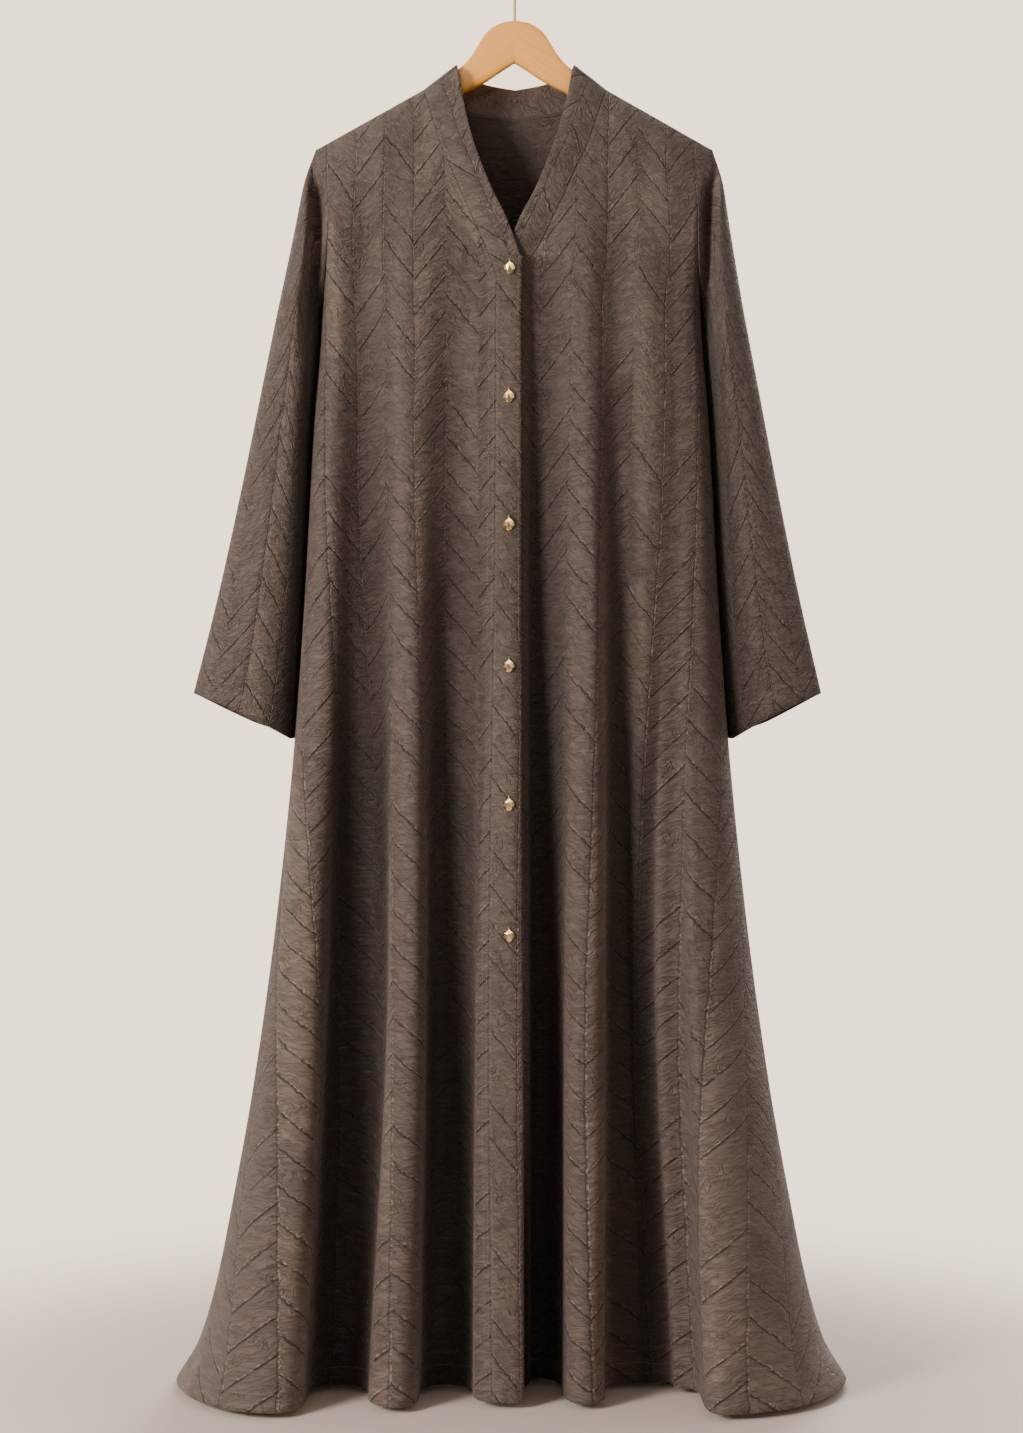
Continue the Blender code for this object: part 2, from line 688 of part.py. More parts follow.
def hook_route():
    """The wire's middle line: up the shank, out to one side and round over the rail."""
    radius = HOOK_INNER_RADIUS + 0.5 * WIRE
    centre = -HOOK_INNER_RADIUS
    foot = NECK_Z - ARM[0].top + SEAM_GAP
    points = [(0.0, mix(foot, SHANK_BENDS, i / 3)) for i in range(3)]
    angle = math.radians(HOOK_START)
    join = (radius * math.cos(angle), centre + radius * math.sin(angle))
    pull = 0.013
    heading = (-math.sin(angle) * pull, math.cos(angle) * pull)
    bow = (
        (0.0, SHANK_BENDS),
        (0.0, SHANK_BENDS + pull),
        (join[0] - heading[0], join[1] - heading[1]),
        join,
    )
    for i in range(9):
        t = i / 9
        weights = ((1 - t) ** 3, 3 * t * (1 - t) ** 2, 3 * t * t * (1 - t), t**3)
        points.append(tuple(sum(w * p[n] for w, p in zip(weights, bow)) for n in range(2)))
    turns = 22
    for i in range(turns + 1):
        angle = math.radians(mix(HOOK_START, HOOK_END, i / turns))
        points.append((radius * math.cos(angle), centre + radius * math.sin(angle)))
    return [(x, 0.0, z) for x, z in points]


def hanger_hook(surface):
    curve = bpy.data.curves.new("hanger_hook", "CURVE")
    curve.dimensions = "3D"
    curve.bevel_depth = 0.5 * WIRE
    curve.bevel_resolution = 2
    curve.use_fill_caps = True
    route = hook_route()
    spline = curve.splines.new("POLY")
    spline.points.add(len(route) - 1)
    for point, place in zip(spline.points, route):
        point.co = (*place, 1.0)
    hook = bpy.data.objects.new("hanger_hook", curve)
    hook.data.materials.append(surface)
    bpy.context.scene.collection.objects.link(hook)


def button(name, drop, surface, parent):
    """A cut metal button, pointed above and below, on the placket."""
    heights = [over_point(BUTTON_ACROSS, drop + step)[1] for step in (-0.01, 0.0, 0.01)]
    slope = math.atan2(heights[2] - heights[0], 0.02)
    bm = bmesh.new()
    rings = []
    for scale, height in ((0.62, 0.0), (1.0, 0.0022), (0.55, 0.0052), (0.12, BUTTON_DEPTH)):
        ring = []
        for k in range(8):
            angle = 0.25 * math.pi * k
            reach = scale if k % 2 == 0 else 0.86 * scale
            x = reach * BUTTON_HALF_WIDTH * math.sin(angle)
            z = reach * BUTTON_HALF_HEIGHT * math.cos(angle)
            ring.append(bm.verts.new((x, -height, z)))
        rings.append(ring)
    lofted(bm, rings)
    made = new_object(name, bm, surface, parent)
    made.location = place_point(-BUTTON_ACROSS, heights[1] + SEAM_GAP, drop)
    made.rotation_euler = (-slope, 0.0, 0.0)


def empty(name, location):
    made = bpy.data.objects.new(name, None)
    bpy.context.scene.collection.objects.link(made)
    made.location = location
    return made


def build():
    for found in list(bpy.data.objects):
        bpy.data.objects.remove(found, do_unlink=True)

    cloth = material("jacquard_cloth", (0.105, 0.085, 0.071), 0.78)
    band = material("jacquard_band", (0.115, 0.093, 0.078), 0.78)
    wood = material("pale_wood", (0.74, 0.50, 0.29), 0.42)
    brass = material("brass", (0.78, 0.58, 0.30), 0.30, 1.0)
    gold = material("champagne_gold", (0.90, 0.72, 0.46), 0.20, 1.0)
    garment = empty("garment", (CENTRE_SHIFT, 0.0, NECK_Z))
    hanger = empty("hanger", (0.0, 0.0, NECK_Z))
    forward, behind = (0.0, -1.0, 0.0), (0.0, 1.0, 0.0)

    over = front_grid(OVER_FOLDS, placket_seam, -1.0, over_point)
    cloth_piece("front_right", over, front_rims, cloth, garment, forward)
    under = front_grid(UNDER_FOLDS, band_seam, 1.0, under_point)
    cloth_piece("front_left", under, front_rims, cloth, garment, forward)
    cloth_piece("back", back_grid(), back_rims, cloth, garment, behind)
    placket = ribbon_grid(placket_seam, placket_edge, over_point, -1.0)
    cloth_piece("placket", placket, ribbon_rims, band, garment, forward)
    buttoned = ribbon_grid(band_seam, band_edge, under_point, 1.0)
    cloth_piece("button_band", buttoned, ribbon_rims, band, garment, forward)
    cloth_piece("collar", collar_grid(), collar_rims, band, garment, behind)
    sleeve = sleeve_grid(-1.0)
    cloth_piece("sleeve_right", sleeve, sleeve_rims, cloth, garment, forward, closed=True)
    sleeve = sleeve_grid(1.0)
    cloth_piece("sleeve_left", sleeve, sleeve_rims, cloth, garment, forward, closed=True)

    hanger_arm("hanger_arm_right", -1.0, wood, hanger)
    hanger_arm("hanger_arm_left", 1.0, wood, hanger)
    hanger_hook(brass)
    for number, drop in enumerate(BUTTON_DROPS, start=1):
        button(f"button_{number}", drop, gold, garment)


build()
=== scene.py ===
import json
import math
import random
from collections import namedtuple
from functools import lru_cache

import bmesh
import bpy
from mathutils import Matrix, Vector, noise


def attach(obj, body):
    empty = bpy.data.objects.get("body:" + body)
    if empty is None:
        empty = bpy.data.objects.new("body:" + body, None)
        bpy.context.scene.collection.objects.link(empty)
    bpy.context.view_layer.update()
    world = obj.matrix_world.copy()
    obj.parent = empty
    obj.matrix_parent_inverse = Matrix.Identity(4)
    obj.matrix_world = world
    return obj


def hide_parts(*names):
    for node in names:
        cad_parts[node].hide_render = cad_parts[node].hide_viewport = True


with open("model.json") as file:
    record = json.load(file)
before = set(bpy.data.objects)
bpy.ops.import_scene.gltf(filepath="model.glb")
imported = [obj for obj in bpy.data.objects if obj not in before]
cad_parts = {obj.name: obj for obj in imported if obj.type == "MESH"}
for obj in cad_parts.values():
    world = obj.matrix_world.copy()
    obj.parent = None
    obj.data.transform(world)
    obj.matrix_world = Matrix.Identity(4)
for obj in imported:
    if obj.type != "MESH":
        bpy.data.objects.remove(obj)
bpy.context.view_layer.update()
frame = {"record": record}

SLOTS = {part["node"]: part["material_slot"] for part in frame["record"]["subparts"]}
rng = random.Random(7)

# The garment's own frame and form, with the same sizes as its solids.
WALL = 0.0016
SEAM_GAP = 0.0003
NECK_Z = -0.160
CENTRE_SHIFT = -0.0037
LEAN_AT_NECK = 0.0038
LEAN_ENDS = 0.25
HEM = 1.423
SHOULDER_ROLL = 0.045
SECTION_POWER = 2.6
SIDE_POWER = 1.85
UNDERARM = 0.2296
UNDERLAP = 0.0032
SLEEVE_CLEARANCE = 0.0042
LEVEL_START = 0.300
ARMHOLE_DEPTH = 0.030
FOLD_FADES_OUT = 0.08

Point = namedtuple("Point", "across drop")
NECK_POINT = Point(0.1015, -0.0034)
SHOULDER_TIP = Point(0.2198, 0.0632)

Row = namedtuple("Row", "neck_drop armhole_drop")
TOP_ROWS = (
    Row(-0.0034, 0.0632),
    Row(-0.0008, 0.0656),
    Row(0.0062, 0.0725),
    Row(0.0200, 0.0860),
    Row(0.0430, 0.1060),
    Row(0.0720, 0.1310),
    Row(0.1080, 0.1600),
    Row(0.1480, 0.1890),
    Row(0.1875, 0.2140),
    Row(0.2200, 0.2296),
    Row(0.2580, 0.2620),
    Row(0.3000, 0.3000),
)

Edge = namedtuple("Edge", "drop across")
SIDE_EDGE = (
    Edge(0.0632, 0.2198),
    Edge(0.0820, 0.2137),
    Edge(0.1120, 0.2048),
    Edge(0.1490, 0.2030),
    Edge(0.1900, 0.2046),
    Edge(0.2296, 0.2088),
    Edge(0.2752, 0.2115),
    Edge(0.3629, 0.2188),
    Edge(0.5671, 0.2298),
    Edge(0.7292, 0.2414),
    Edge(0.9179, 0.2608),
    Edge(1.0955, 0.2852),
    Edge(1.2287, 0.3090),
    Edge(1.3175, 0.3270),
    Edge(1.3819, 0.3462),
    Edge(1.4230, 0.3704),
)
NECK_SEAM = (
    Edge(-0.0034, 0.1015),
    Edge(0.0243, 0.0930),
    Edge(0.0604, 0.0815),
    Edge(0.0892, 0.0685),
    Edge(0.1187, 0.0560),
    Edge(0.1520, 0.0403),
    Edge(0.1875, 0.0250),
    Edge(0.2100, 0.0172),
)
PLACKET_SEAM_HEM = 0.0150
PLACKET_EDGE = -0.0105
PLACKET_EDGE_HEM = -0.0176
BAND_SEAM = 0.0104
BAND_EDGE = -0.0172

Depth = namedtuple("Depth", "drop front back")
DEPTHS = (
    Depth(-0.004, 0.020, 0.020),
    Depth(0.030, 0.026, 0.026),
    Depth(0.080, 0.034, 0.034),
    Depth(0.150, 0.041, 0.040),
    Depth(0.300, 0.047, 0.044),
    Depth(0.620, 0.058, 0.054),
    Depth(0.930, 0.074, 0.070),
    Depth(1.423, 0.100, 0.096),
)

# Where each fold runs at four heights, and how far it stands out there. Those of the two fronts
# follow the photo more closely than the solids do.
FOLD_LEVELS = (0.22, 0.62, 0.93, HEM)
Fold = namedtuple("Fold", "name across rise")
OVER_FOLDS = (
    Fold("placket edge", (-0.030, -0.030, -0.030, -0.034), (0.001, 0.004, 0.008, 0.010)),
    Fold("placket", (0.006, 0.005, 0.005, 0.008), (0.004, 0.012, 0.019, 0.024)),
    Fold("inner valley", (0.058, 0.069, 0.075, 0.075), (-0.006, -0.019, -0.031, -0.058)),
    Fold("inner ridge", (0.116, 0.111, 0.109, 0.124), (0.007, 0.019, 0.028, 0.044)),
    Fold("outer valley", (0.164, 0.160, 0.158, 0.184), (-0.010, -0.025, -0.040, -0.052)),
    Fold("outer ridge", (0.196, 0.214, 0.240, 0.258), (0.004, 0.013, 0.034, 0.083)),
)
UNDER_FOLDS = (
    Fold("band edge", (-0.030, -0.030, -0.030, -0.020), (0.001, 0.006, 0.008, -0.040)),
    Fold("band", (0.0115, 0.0110, 0.0105, 0.008), (0.001, 0.004, 0.004, -0.050)),
    Fold("inner valley", (0.0250, 0.0240, 0.0285, 0.0320), (-0.008, -0.022, -0.038, -0.082)),
    Fold("inner ridge", (0.083, 0.087, 0.085, 0.079), (0.007, 0.018, 0.027, 0.030)),
    Fold("middle valley", (0.1176, 0.117, 0.119, 0.122), (-0.006, -0.017, -0.036, -0.066)),
    Fold("middle ridge", (0.150, 0.150, 0.143, 0.166), (0.004, 0.006, -0.024, -0.066)),
    Fold("outer valley", (0.174, 0.175, 0.170, 0.186), (0.001, 0.005, -0.004, -0.034)),
    Fold("outer ridge", (0.198, 0.201, 0.207, 0.222), (0.004, 0.013, 0.034, 0.083)),
)
BACK_FOLDS = (
    Fold("right side", (-0.194, -0.208, -0.226, -0.250), (0.003, 0.010, 0.028, 0.066)),
    Fold("right valley", (-0.150, -0.156, -0.162, -0.176), (-0.004, -0.016, -0.024, -0.034)),
    Fold("right ridge", (-0.104, -0.106, -0.108, -0.116), (0.005, 0.017, 0.028, 0.040)),
    Fold("right middle", (-0.058, -0.056, -0.058, -0.060), (-0.003, -0.014, -0.024, -0.038)),
    Fold("centre ridge", (-0.010, -0.008, -0.004, 0.002), (0.003, 0.014, 0.024, 0.030)),
    Fold("left middle", (0.046, 0.048, 0.050, 0.060), (-0.003, -0.015, -0.024, -0.042)),
    Fold("left ridge", (0.102, 0.098, 0.100, 0.112), (0.005, 0.016, 0.027, 0.042)),
    Fold("left valley", (0.148, 0.150, 0.158, 0.178), (-0.004, -0.014, -0.022, -0.032)),
    Fold("left side", (0.196, 0.206, 0.228, 0.252), (0.003, 0.010, 0.028, 0.064)),
)

Station = namedtuple("Station", "name seam_across seam_drop edge_across edge_drop edge_lift")
COLLAR_FRONT = (
    Station("shoulder", 0.1015, -0.0034, 0.0660, -0.0310, 0.0000),
    Station("before the arm", 0.0998, 0.0020, 0.0646, -0.0268, 0.0140),
    Station("rise", 0.0930, 0.0243, 0.0568, 0.0150, 0.0060),
    Station("chest", 0.0815, 0.0604, 0.0475, 0.0520, 0.0070),
    Station("high in the V", 0.0685, 0.0892, 0.0385, 0.0785, 0.0065),
    Station("middle of the V", 0.0560, 0.1187, 0.0250, 0.1110, 0.0050),
    Station("low in the V", 0.0403, 0.1520, 0.0085, 0.1440, 0.0030),
    Station("front end", 0.0250, 0.1875, -0.0085, 0.1875, 0.0000),
)
COLLAR_BACK = (
    Station("centre back", 0.0000, 0.0260, 0.0000, -0.0105, 0.0170),
    Station("back", 0.0500, 0.0185, 0.0320, -0.0160, 0.0160),
    Station("behind shoulder", 0.0850, 0.0075, 0.0550, -0.0240, 0.0170),
    Station("behind the arm", 0.0985, 0.0005, 0.0640, -0.0285, 0.0146),
    Station("shoulder", 0.1015, -0.0034, 0.0660, -0.0310, 0.0000),
)

Ring = namedtuple("Ring", "name outer_across outer_drop inner_drop depth")
SLEEVE = (
    Ring("armhole", 0.2198, 0.0632, 0.2296, 0.030),
    Ring("cap", 0.2309, 0.0965, 0.2500, 0.034),
    Ring("below the cap", 0.2410, 0.1520, 0.2820, 0.037),
    Ring("upper arm", 0.2530, 0.2160, 0.3300, 0.038),
    Ring("above the elbow", 0.2753, 0.3296, 0.4300, 0.037),
    Ring("elbow", 0.2983, 0.4460, 0.5300, 0.036),
    Ring("forearm", 0.3230, 0.5626, 0.6300, 0.034),
    Ring("cuff", 0.3478, 0.6660, 0.7160, 0.031),
)
SLEEVE_SWAY = -0.0045
VALLEY_START = 0.010
VALLEY_WIDTH = 0.016
VALLEY_FLOOR = 0.22
SLEEVE_TUCK = 0.013
CUFF_OPENS = 0.0052

ARM_HALF_THICK = 0.0065
Arm = namedtuple("Arm", "across top bottom squareness")
ARM = (
    Arm(0.0000, -0.0799, -0.0329, 5.0),
    Arm(0.0131, -0.0778, -0.0247, 5.0),
    Arm(0.0242, -0.0727, -0.0172, 5.0),
    Arm(0.0331, -0.0648, -0.0118, 5.0),
    Arm(0.0397, -0.0545, -0.0082, 5.0),
    Arm(0.0464, -0.0434, -0.0047, 5.0),
    Arm(0.0547, -0.0330, -0.0007, 4.5),
    Arm(0.0653, -0.0241, 0.0060, 3.5),
    Arm(0.0850, -0.0103, 0.0180, 2.6),
    Arm(0.1015, 0.0006, 0.0275, 2.4),
    Arm(0.1300, 0.0163, 0.0425, 2.4),
    Arm(0.1600, 0.0332, 0.0570, 2.4),
    Arm(0.1850, 0.0473, 0.0680, 2.4),
    Arm(0.1930, 0.0528, 0.0690, 2.4),
    Arm(0.1965, 0.0580, 0.0655, 2.4),
)
MITRE_GAP = 0.00001
WIRE = 0.0031
HOOK_INNER_RADIUS = 0.021
HOOK_START = -58.0
HOOK_END = 218.0
SHANK_BENDS = -0.062

BUTTON_DROPS = (0.2006, 0.3418, 0.4816, 0.6359, 0.7858, 0.9267)
BUTTON_ACROSS = 0.0030
BUTTON_HALF_WIDTH = 0.0063
BUTTON_HALF_HEIGHT = 0.0086
BUTTON_DEPTH = 0.0062
BUTTON_OUTLINE = ((0.0, 1.0), (0.36, 0.56), (0.98, 0.20), (0.94, -0.32), (0.48, -0.82), (0.0, -1.0))

# What only the finished surface has: widths, depths and distances along the cloth.
HEM_TURN = 0.022
CUFF_TURN = 0.024
PLACKET_STARTS = 0.19
# Painted shade in the folds: how far round each point to look for ridges, how deep a fold gives full
# shade, and how much of each colour it takes away.
FOLD_SHADE_REACH = 0.085
FOLD_SHADE_DEPTH = 0.022
HOLLOW_SHADE = (0.90, 0.918, 0.928)
NO_WALL = -0.1
CHEST_WIDTH = 0.23
NARROWING = 0.55
COLUMN = 0.0365
LINE_STEP = 0.0385
LINE_TILT = 1.22
LINE_LEVEL = 0.63
SEAM_STITCH = 0.0022
SECOND_STITCH = 0.0078
STITCH = 0.0026
STITCH_STEP = 0.0036
STITCH_THICK = 0.00045
PLACKET_EDGE_STITCH = 0.0034
COLLAR_EDGE_STITCH = 0.0030
STRIP_INSET = 0.0012
STRIP_HEIGHT = 0.0034
STRIP_THICK = 0.0004
BUTTONHOLE_LENGTH = 0.0120
BUTTONHOLE_HALF_HEIGHT = 0.0009
BUTTONHOLE_STEPS = 26
HOLE_LIFT = 0.00035
# Each stitch's rings: place along it, share of its thickness, height over the cloth.
STITCH_RINGS = ((-0.5, 0.30, -0.00010), (-0.3, 0.9, 0.00014), (0.3, 0.9, 0.00014), (0.5, 0.30, -0.00010))
BUTTON_RIM = ((0.70, 0.0), (0.96, 0.0013), (1.0, 0.0020))
BUTTON_CROWN = (
    (0.04, 0.66, 0.0040),
    (0.66, 0.24, 0.0043),
    (0.46, -0.44, 0.0040),
    (-0.34, -0.58, 0.0042),
    (-0.62, 0.14, 0.0046),
)
ARM_STEPS = 84
ARM_SIDES = 44
HOOK_EASES_IN = 0.013
FLOOR_Z = NECK_Z - HEM - 0.008
MIDDLE = (0.0, 0.0, -0.8)
PALE = (2.62, 2.12, 1.68)


def ease(value):
    """0 below 0, 1 above 1, and a smooth step between."""
    value = min(max(value, 0.0), 1.0)
    return value * value * (3.0 - 2.0 * value)


def mix(start, end, share):
    return start + (end - start) * share


def through(knots, values, at):
    """A smooth curve through the values, which never swings past them between two knots."""
    if at <= knots[0]:
        return values[0]
    if at >= knots[-1]:
        return values[-1]
    count = len(knots)
    i = 0
    while knots[i + 1] <= at:
        i += 1

    def slope(k):
        if k == 0:
            return (values[1] - values[0]) / (knots[1] - knots[0])
        if k == count - 1:
            return (values[-1] - values[-2]) / (knots[-1] - knots[-2])
        before = (values[k] - values[k - 1]) / (knots[k] - knots[k - 1])
        after = (values[k + 1] - values[k]) / (knots[k + 1] - knots[k])
        return 2.0 * before * after / (before + after) if before * after > 0.0 else 0.0

    width = knots[i + 1] - knots[i]
    t = (at - knots[i]) / width
    start = values[i] * (1.0 + 2.0 * t) * (1.0 - t) ** 2 + slope(i) * width * t * (1.0 - t) ** 2
    end = values[i + 1] * t * t * (3.0 - 2.0 * t) - slope(i + 1) * width * t * t * (1.0 - t)
    return start + end


@lru_cache(maxsize=None)
def columns_of(rows, key, value):
    return tuple(getattr(r, key) for r in rows), tuple(getattr(r, value) for r in rows)


def column(rows, key, value, at):
    knots, values = columns_of(rows, key, value)
    return through(knots, values, at)


@lru_cache(maxsize=200000)
def side_edge(drop):
    return column(SIDE_EDGE, "drop", "across", drop)


@lru_cache(maxsize=200000)
def depth_at(side, drop):
    return column(DEPTHS, "drop", side, drop)


def shoulder_line(across):
    slope = (SHOULDER_TIP.drop - NECK_POINT.drop) / (SHOULDER_TIP.across - NECK_POINT.across)
    return NECK_POINT.drop + slope * (abs(across) - NECK_POINT.across)


def armhole_rim(drop):
    share = (drop - SHOULDER_TIP.drop) / (UNDERARM - SHOULDER_TIP.drop)
    if not 0.0 < share < 1.0:
        return 0.0
    return ARMHOLE_DEPTH * math.sin(math.pi * share) ** 0.7


def roll(across, drop):
    below = min(max((drop - shoulder_line(across)) / SHOULDER_ROLL, 0.0), 1.0)
    return math.sqrt(1.0 - (1.0 - below) ** 2)


def plain_out(across, drop, side):
    """The section without folds, a flattened round that closes at the side seam."""
    rim = armhole_rim(drop)
    power = mix(1.0 / SECTION_POWER, 1.0, rim / ARMHOLE_DEPTH)
    share = min(abs(across) / side_edge(drop), 1.0)
    return rim + (depth_at(side, drop) - rim) * (1.0 - share**SECTION_POWER) ** power


FOLDS = {"over": OVER_FOLDS, "under": UNDER_FOLDS, "back": BACK_FOLDS}


@lru_cache(maxsize=200000)
def fold_state(which, drop):
    """Where each fold's middle is at a height, and how far it stands out there."""
    fade = ease((drop - FOLD_FADES_OUT) / (FOLD_LEVELS[0] - FOLD_FADES_OUT))
    centres = tuple(through(FOLD_LEVELS, f.across, drop) for f in FOLDS[which])
    rises = tuple(through(FOLD_LEVELS, f.rise, drop) * fade for f in FOLDS[which])
    return centres, rises


def side_turn(start, rise, place, drop, side):
    """From the last fold the cloth turns back to the side seam or the armhole."""
    end = math.copysign(side_edge(drop), start)
    angle = 0.5 * math.pi * min(max((place - start) / (end - start), 0.0), 1.0)
    power = 2.0 / SIDE_POWER
    rim = armhole_rim(drop)
    crest = plain_out(start, drop, side) + rise
    turned_across = mix(start, end, math.sin(angle) ** power)
    turned_out = rim + (crest - rim) * max(math.cos(angle), 0.0) ** power
    plain = plain_out(place, drop, side) + rise * math.cos(angle)
    free = ease((drop - UNDERARM) / 0.10)
    return mix(place, turned_across, free), mix(plain, turned_out, free)


def folded(place, drop, which, side):
    """Where the cloth is at a place of its section: across the body, and out of the hanger's plane."""
    centres, rises = fold_state(which, drop)
    if place >= centres[-1]:
        across, out = side_turn(centres[-1], rises[-1], place, drop, side)
    elif place <= centres[0] and which == "back":
        across, out = side_turn(centres[0], rises[0], place, drop, side)
    else:
        i = 0
        while i < len(centres) - 2 and centres[i + 1] <= place:
            i += 1
        width = centres[i + 1] - centres[i]
        share = max((place - centres[i]) / width, 0.0)
        steep = 0.95 * ease((drop - 0.3) / 0.9)
        across = place + width * steep * math.sin(2.0 * math.pi * share) / (2.0 * math.pi)
        wave = 0.5 - 0.5 * math.cos(math.pi * share)
        out = plain_out(across, drop, side) + mix(rises[i], rises[i + 1], wave)
    return across, max(out * roll(across, drop), 0.5 * SEAM_GAP)


def wander(across, drop, seed):
    """Slow unevenness of hanging cloth, in metres: long soft dents, and small ones across them."""
    long_dent = noise.noise(Vector((across * 38.0, drop * 3.4, seed)))
    short_dent = noise.noise(Vector((across * 70.0, drop * 15.0, seed + 9.0)))
    return 0.0021 * long_dent + 0.0006 * short_dent


def hem_step(drop, turn=HEM_TURN, end=HEM):
    """The turned-up hem is a second layer, which stands out a little below its stitches."""
    above = (end - drop) / turn
    if above > 1.25:
        return 0.0
    groove = math.exp(-(((above - 1.0) / 0.09) ** 2))
    return 0.0005 * (1.0 - ease((above - 0.9) / 0.3)) - 0.0004 * groove


def tuck(across, drop):
    """How far the under front lies behind the over front, near the centre line."""
    return UNDERLAP * ease((drop - 0.06) / 0.08) * (1.0 - ease((across - 0.02) / 0.06))


def loosened(across, drop, edge_in, edge_out, seed):
    """Unevenness that dies away at a panel's two edges, so that seams still meet."""
    free = ease(min(abs(across - edge_in), abs(edge_out - across)) / 0.012)
    low = ease((drop - shoulder_line(across) - 0.01) / 0.03)
    return wander(across, drop, seed) * free * low


def over_point(place, drop):
    across, out = folded(place, drop, "over", "front")
    out += loosened(place, drop, placket_seam(drop), side_edge(drop), 1.0)
    return across, out + hem_step(drop)


def under_point(place, drop):
    across, out = folded(place, drop, "under", "front")
    out += loosened(place, drop, band_seam(drop), side_edge(drop), 4.0) * ease((across - 0.025) / 0.03)
    return across, out - tuck(place, drop) + hem_step(drop)


def back_point(place, drop):
    across, out = folded(place, drop, "back", "back")
    out += loosened(place, drop, -side_edge(drop), side_edge(drop), 7.0)
    return across, out + hem_step(drop)


def placket_seam(drop):
    return column(NECK_SEAM, "drop", "across", drop) + mix(
        0.0, PLACKET_SEAM_HEM - NECK_SEAM[-1].across, ease((drop - 0.8) / (HEM - 0.8))
    )


def band_seam(drop):
    return mix(column(NECK_SEAM, "drop", "across", drop), BAND_SEAM, ease((drop - 0.17) / 0.05))


def placket_edge(drop):
    return mix(PLACKET_EDGE, PLACKET_EDGE_HEM, ease((drop - 0.8) / (HEM - 0.8)))


def band_edge(drop):
    return BAND_EDGE


def place_point(across, out, drop):
    """A point of the garment, which hangs a little off centre on its hanger."""
    lean = LEAN_AT_NECK * max(1.0 - drop / LEAN_ENDS, 0.0)
    return Vector((CENTRE_SHIFT + across + lean, -out, NECK_Z - drop))


def fine_rows(step):
    """The panels' rows, from the shoulder to the hem, with many between the solids' rows."""
    rows = []
    for upper, lower in zip(TOP_ROWS, TOP_ROWS[1:]):
        length = max(lower.neck_drop - upper.neck_drop, lower.armhole_drop - upper.armhole_drop)
        count = max(2, round(length / (0.6 * step)))
        for k in range(count):
            neck = mix(upper.neck_drop, lower.neck_drop, k / count)
            rows.append(Row(neck, mix(upper.armhole_drop, lower.armhole_drop, k / count)))
    count = round((HEM - LEVEL_START) / step)
    rows += [Row(d, d) for d in (mix(LEVEL_START, HEM, k / count) for k in range(count + 1))]
    return rows


def front_grid(seam, mirror, point, rows, width):
    grid = []
    for row in rows:
        inner = seam(row.neck_drop) + 0.5 * SEAM_GAP
        outer = side_edge(row.armhole_drop)
        points = []
        for k in range(width + 1):
            share = k / width
            drop = mix(row.neck_drop, row.armhole_drop, share)
            across, out = point(mix(inner, outer, share), drop)
            points.append(place_point(mirror * across, out, drop))
        grid.append(points)
    return grid


def back_top(across):
    """The back's top edge: the neck seam, then the shoulder seam."""
    if abs(across) >= NECK_POINT.across:
        return shoulder_line(across)
    return column(COLLAR_BACK, "seam_across", "seam_drop", abs(across)) + SEAM_GAP


def back_grid(rows, width):
    grid = []
    for row in rows:
        low = min((row.armhole_drop - SHOULDER_TIP.drop) / (LEVEL_START - SHOULDER_TIP.drop), 1.0)
        points = []
        for k in range(width + 1):
            share = mix(-1.0, 1.0, k / width)
            drop = row.armhole_drop
            if low < 1.0:
                drop = mix(back_top(share * SHOULDER_TIP.across), LEVEL_START, low)
            across, out = back_point(share * side_edge(row.armhole_drop), drop)
            points.append(place_point(across, -out, drop))
        grid.append(points)
    return grid


def ribbon_grid(seam, edge, point, mirror, rows, width, edge_bow):
    """A straight band from its seam to its free edge, from the collar's end to the hem."""
    end = COLLAR_FRONT[-1].seam_drop
    drops = [end + SEAM_GAP] + [r.neck_drop for r in rows if r.neck_drop > end + 0.001]
    grid = []
    for drop in drops:
        seam_place = seam(drop) - 0.5 * SEAM_GAP
        points = []
        for k in range(width + 1):
            share = k / width
            across, out = point(mix(seam_place, edge(drop), share), drop)
            out += edge_bow * (0.5 - 0.5 * math.cos(2.0 * math.pi * share))
            out += 0.0004 * noise.noise(Vector((share * 3.0, drop * 60.0, 2.0))) * ease(share / 0.2)
            points.append(place_point(mirror * across, out, drop))
        grid.append(points)
    return grid


def collar_row(table, key, at, over, width):
    """A row of the collar, from its seam to its free edge, in front or behind."""
    seam = [column(table, key, name, at) for name in ("seam_across", "seam_drop")]
    if table is COLLAR_FRONT and not over:
        seam[0] = band_seam(at)
    edge = [column(table, key, name, at) for name in ("edge_across", "edge_drop")]
    lift = column(table, key, "edge_lift", at)
    if table is COLLAR_BACK:
        seam_out = -folded(*seam, "back", "back")[1] + 0.0011 * ease((0.098 - seam[0]) / 0.02)
        edge_out = -folded(*edge, "back", "back")[1] - lift
    elif over:
        seam_out = folded(*seam, "over", "front")[1]
        edge_out = folded(*edge, "over", "front")[1] + lift
    else:
        seam_out = folded(*seam, "under", "front")[1] - tuck(*seam)
        edge_out = folded(*edge, "under", "front")[1] - tuck(*edge) + lift
    row = []
    inset = 0.5 * SEAM_GAP / math.dist(seam, edge)
    for k in range(width + 1):
        part = mix(inset, 1.0, k / width)
        bow = math.copysign(0.0014, seam_out) * math.sin(math.pi * part)
        across = mix(seam[0], edge[0], part)
        out = mix(seam_out, edge_out, part) + bow
        row.append(place_point(-across if over else across, out, mix(seam[1], edge[1], part)))
    return row


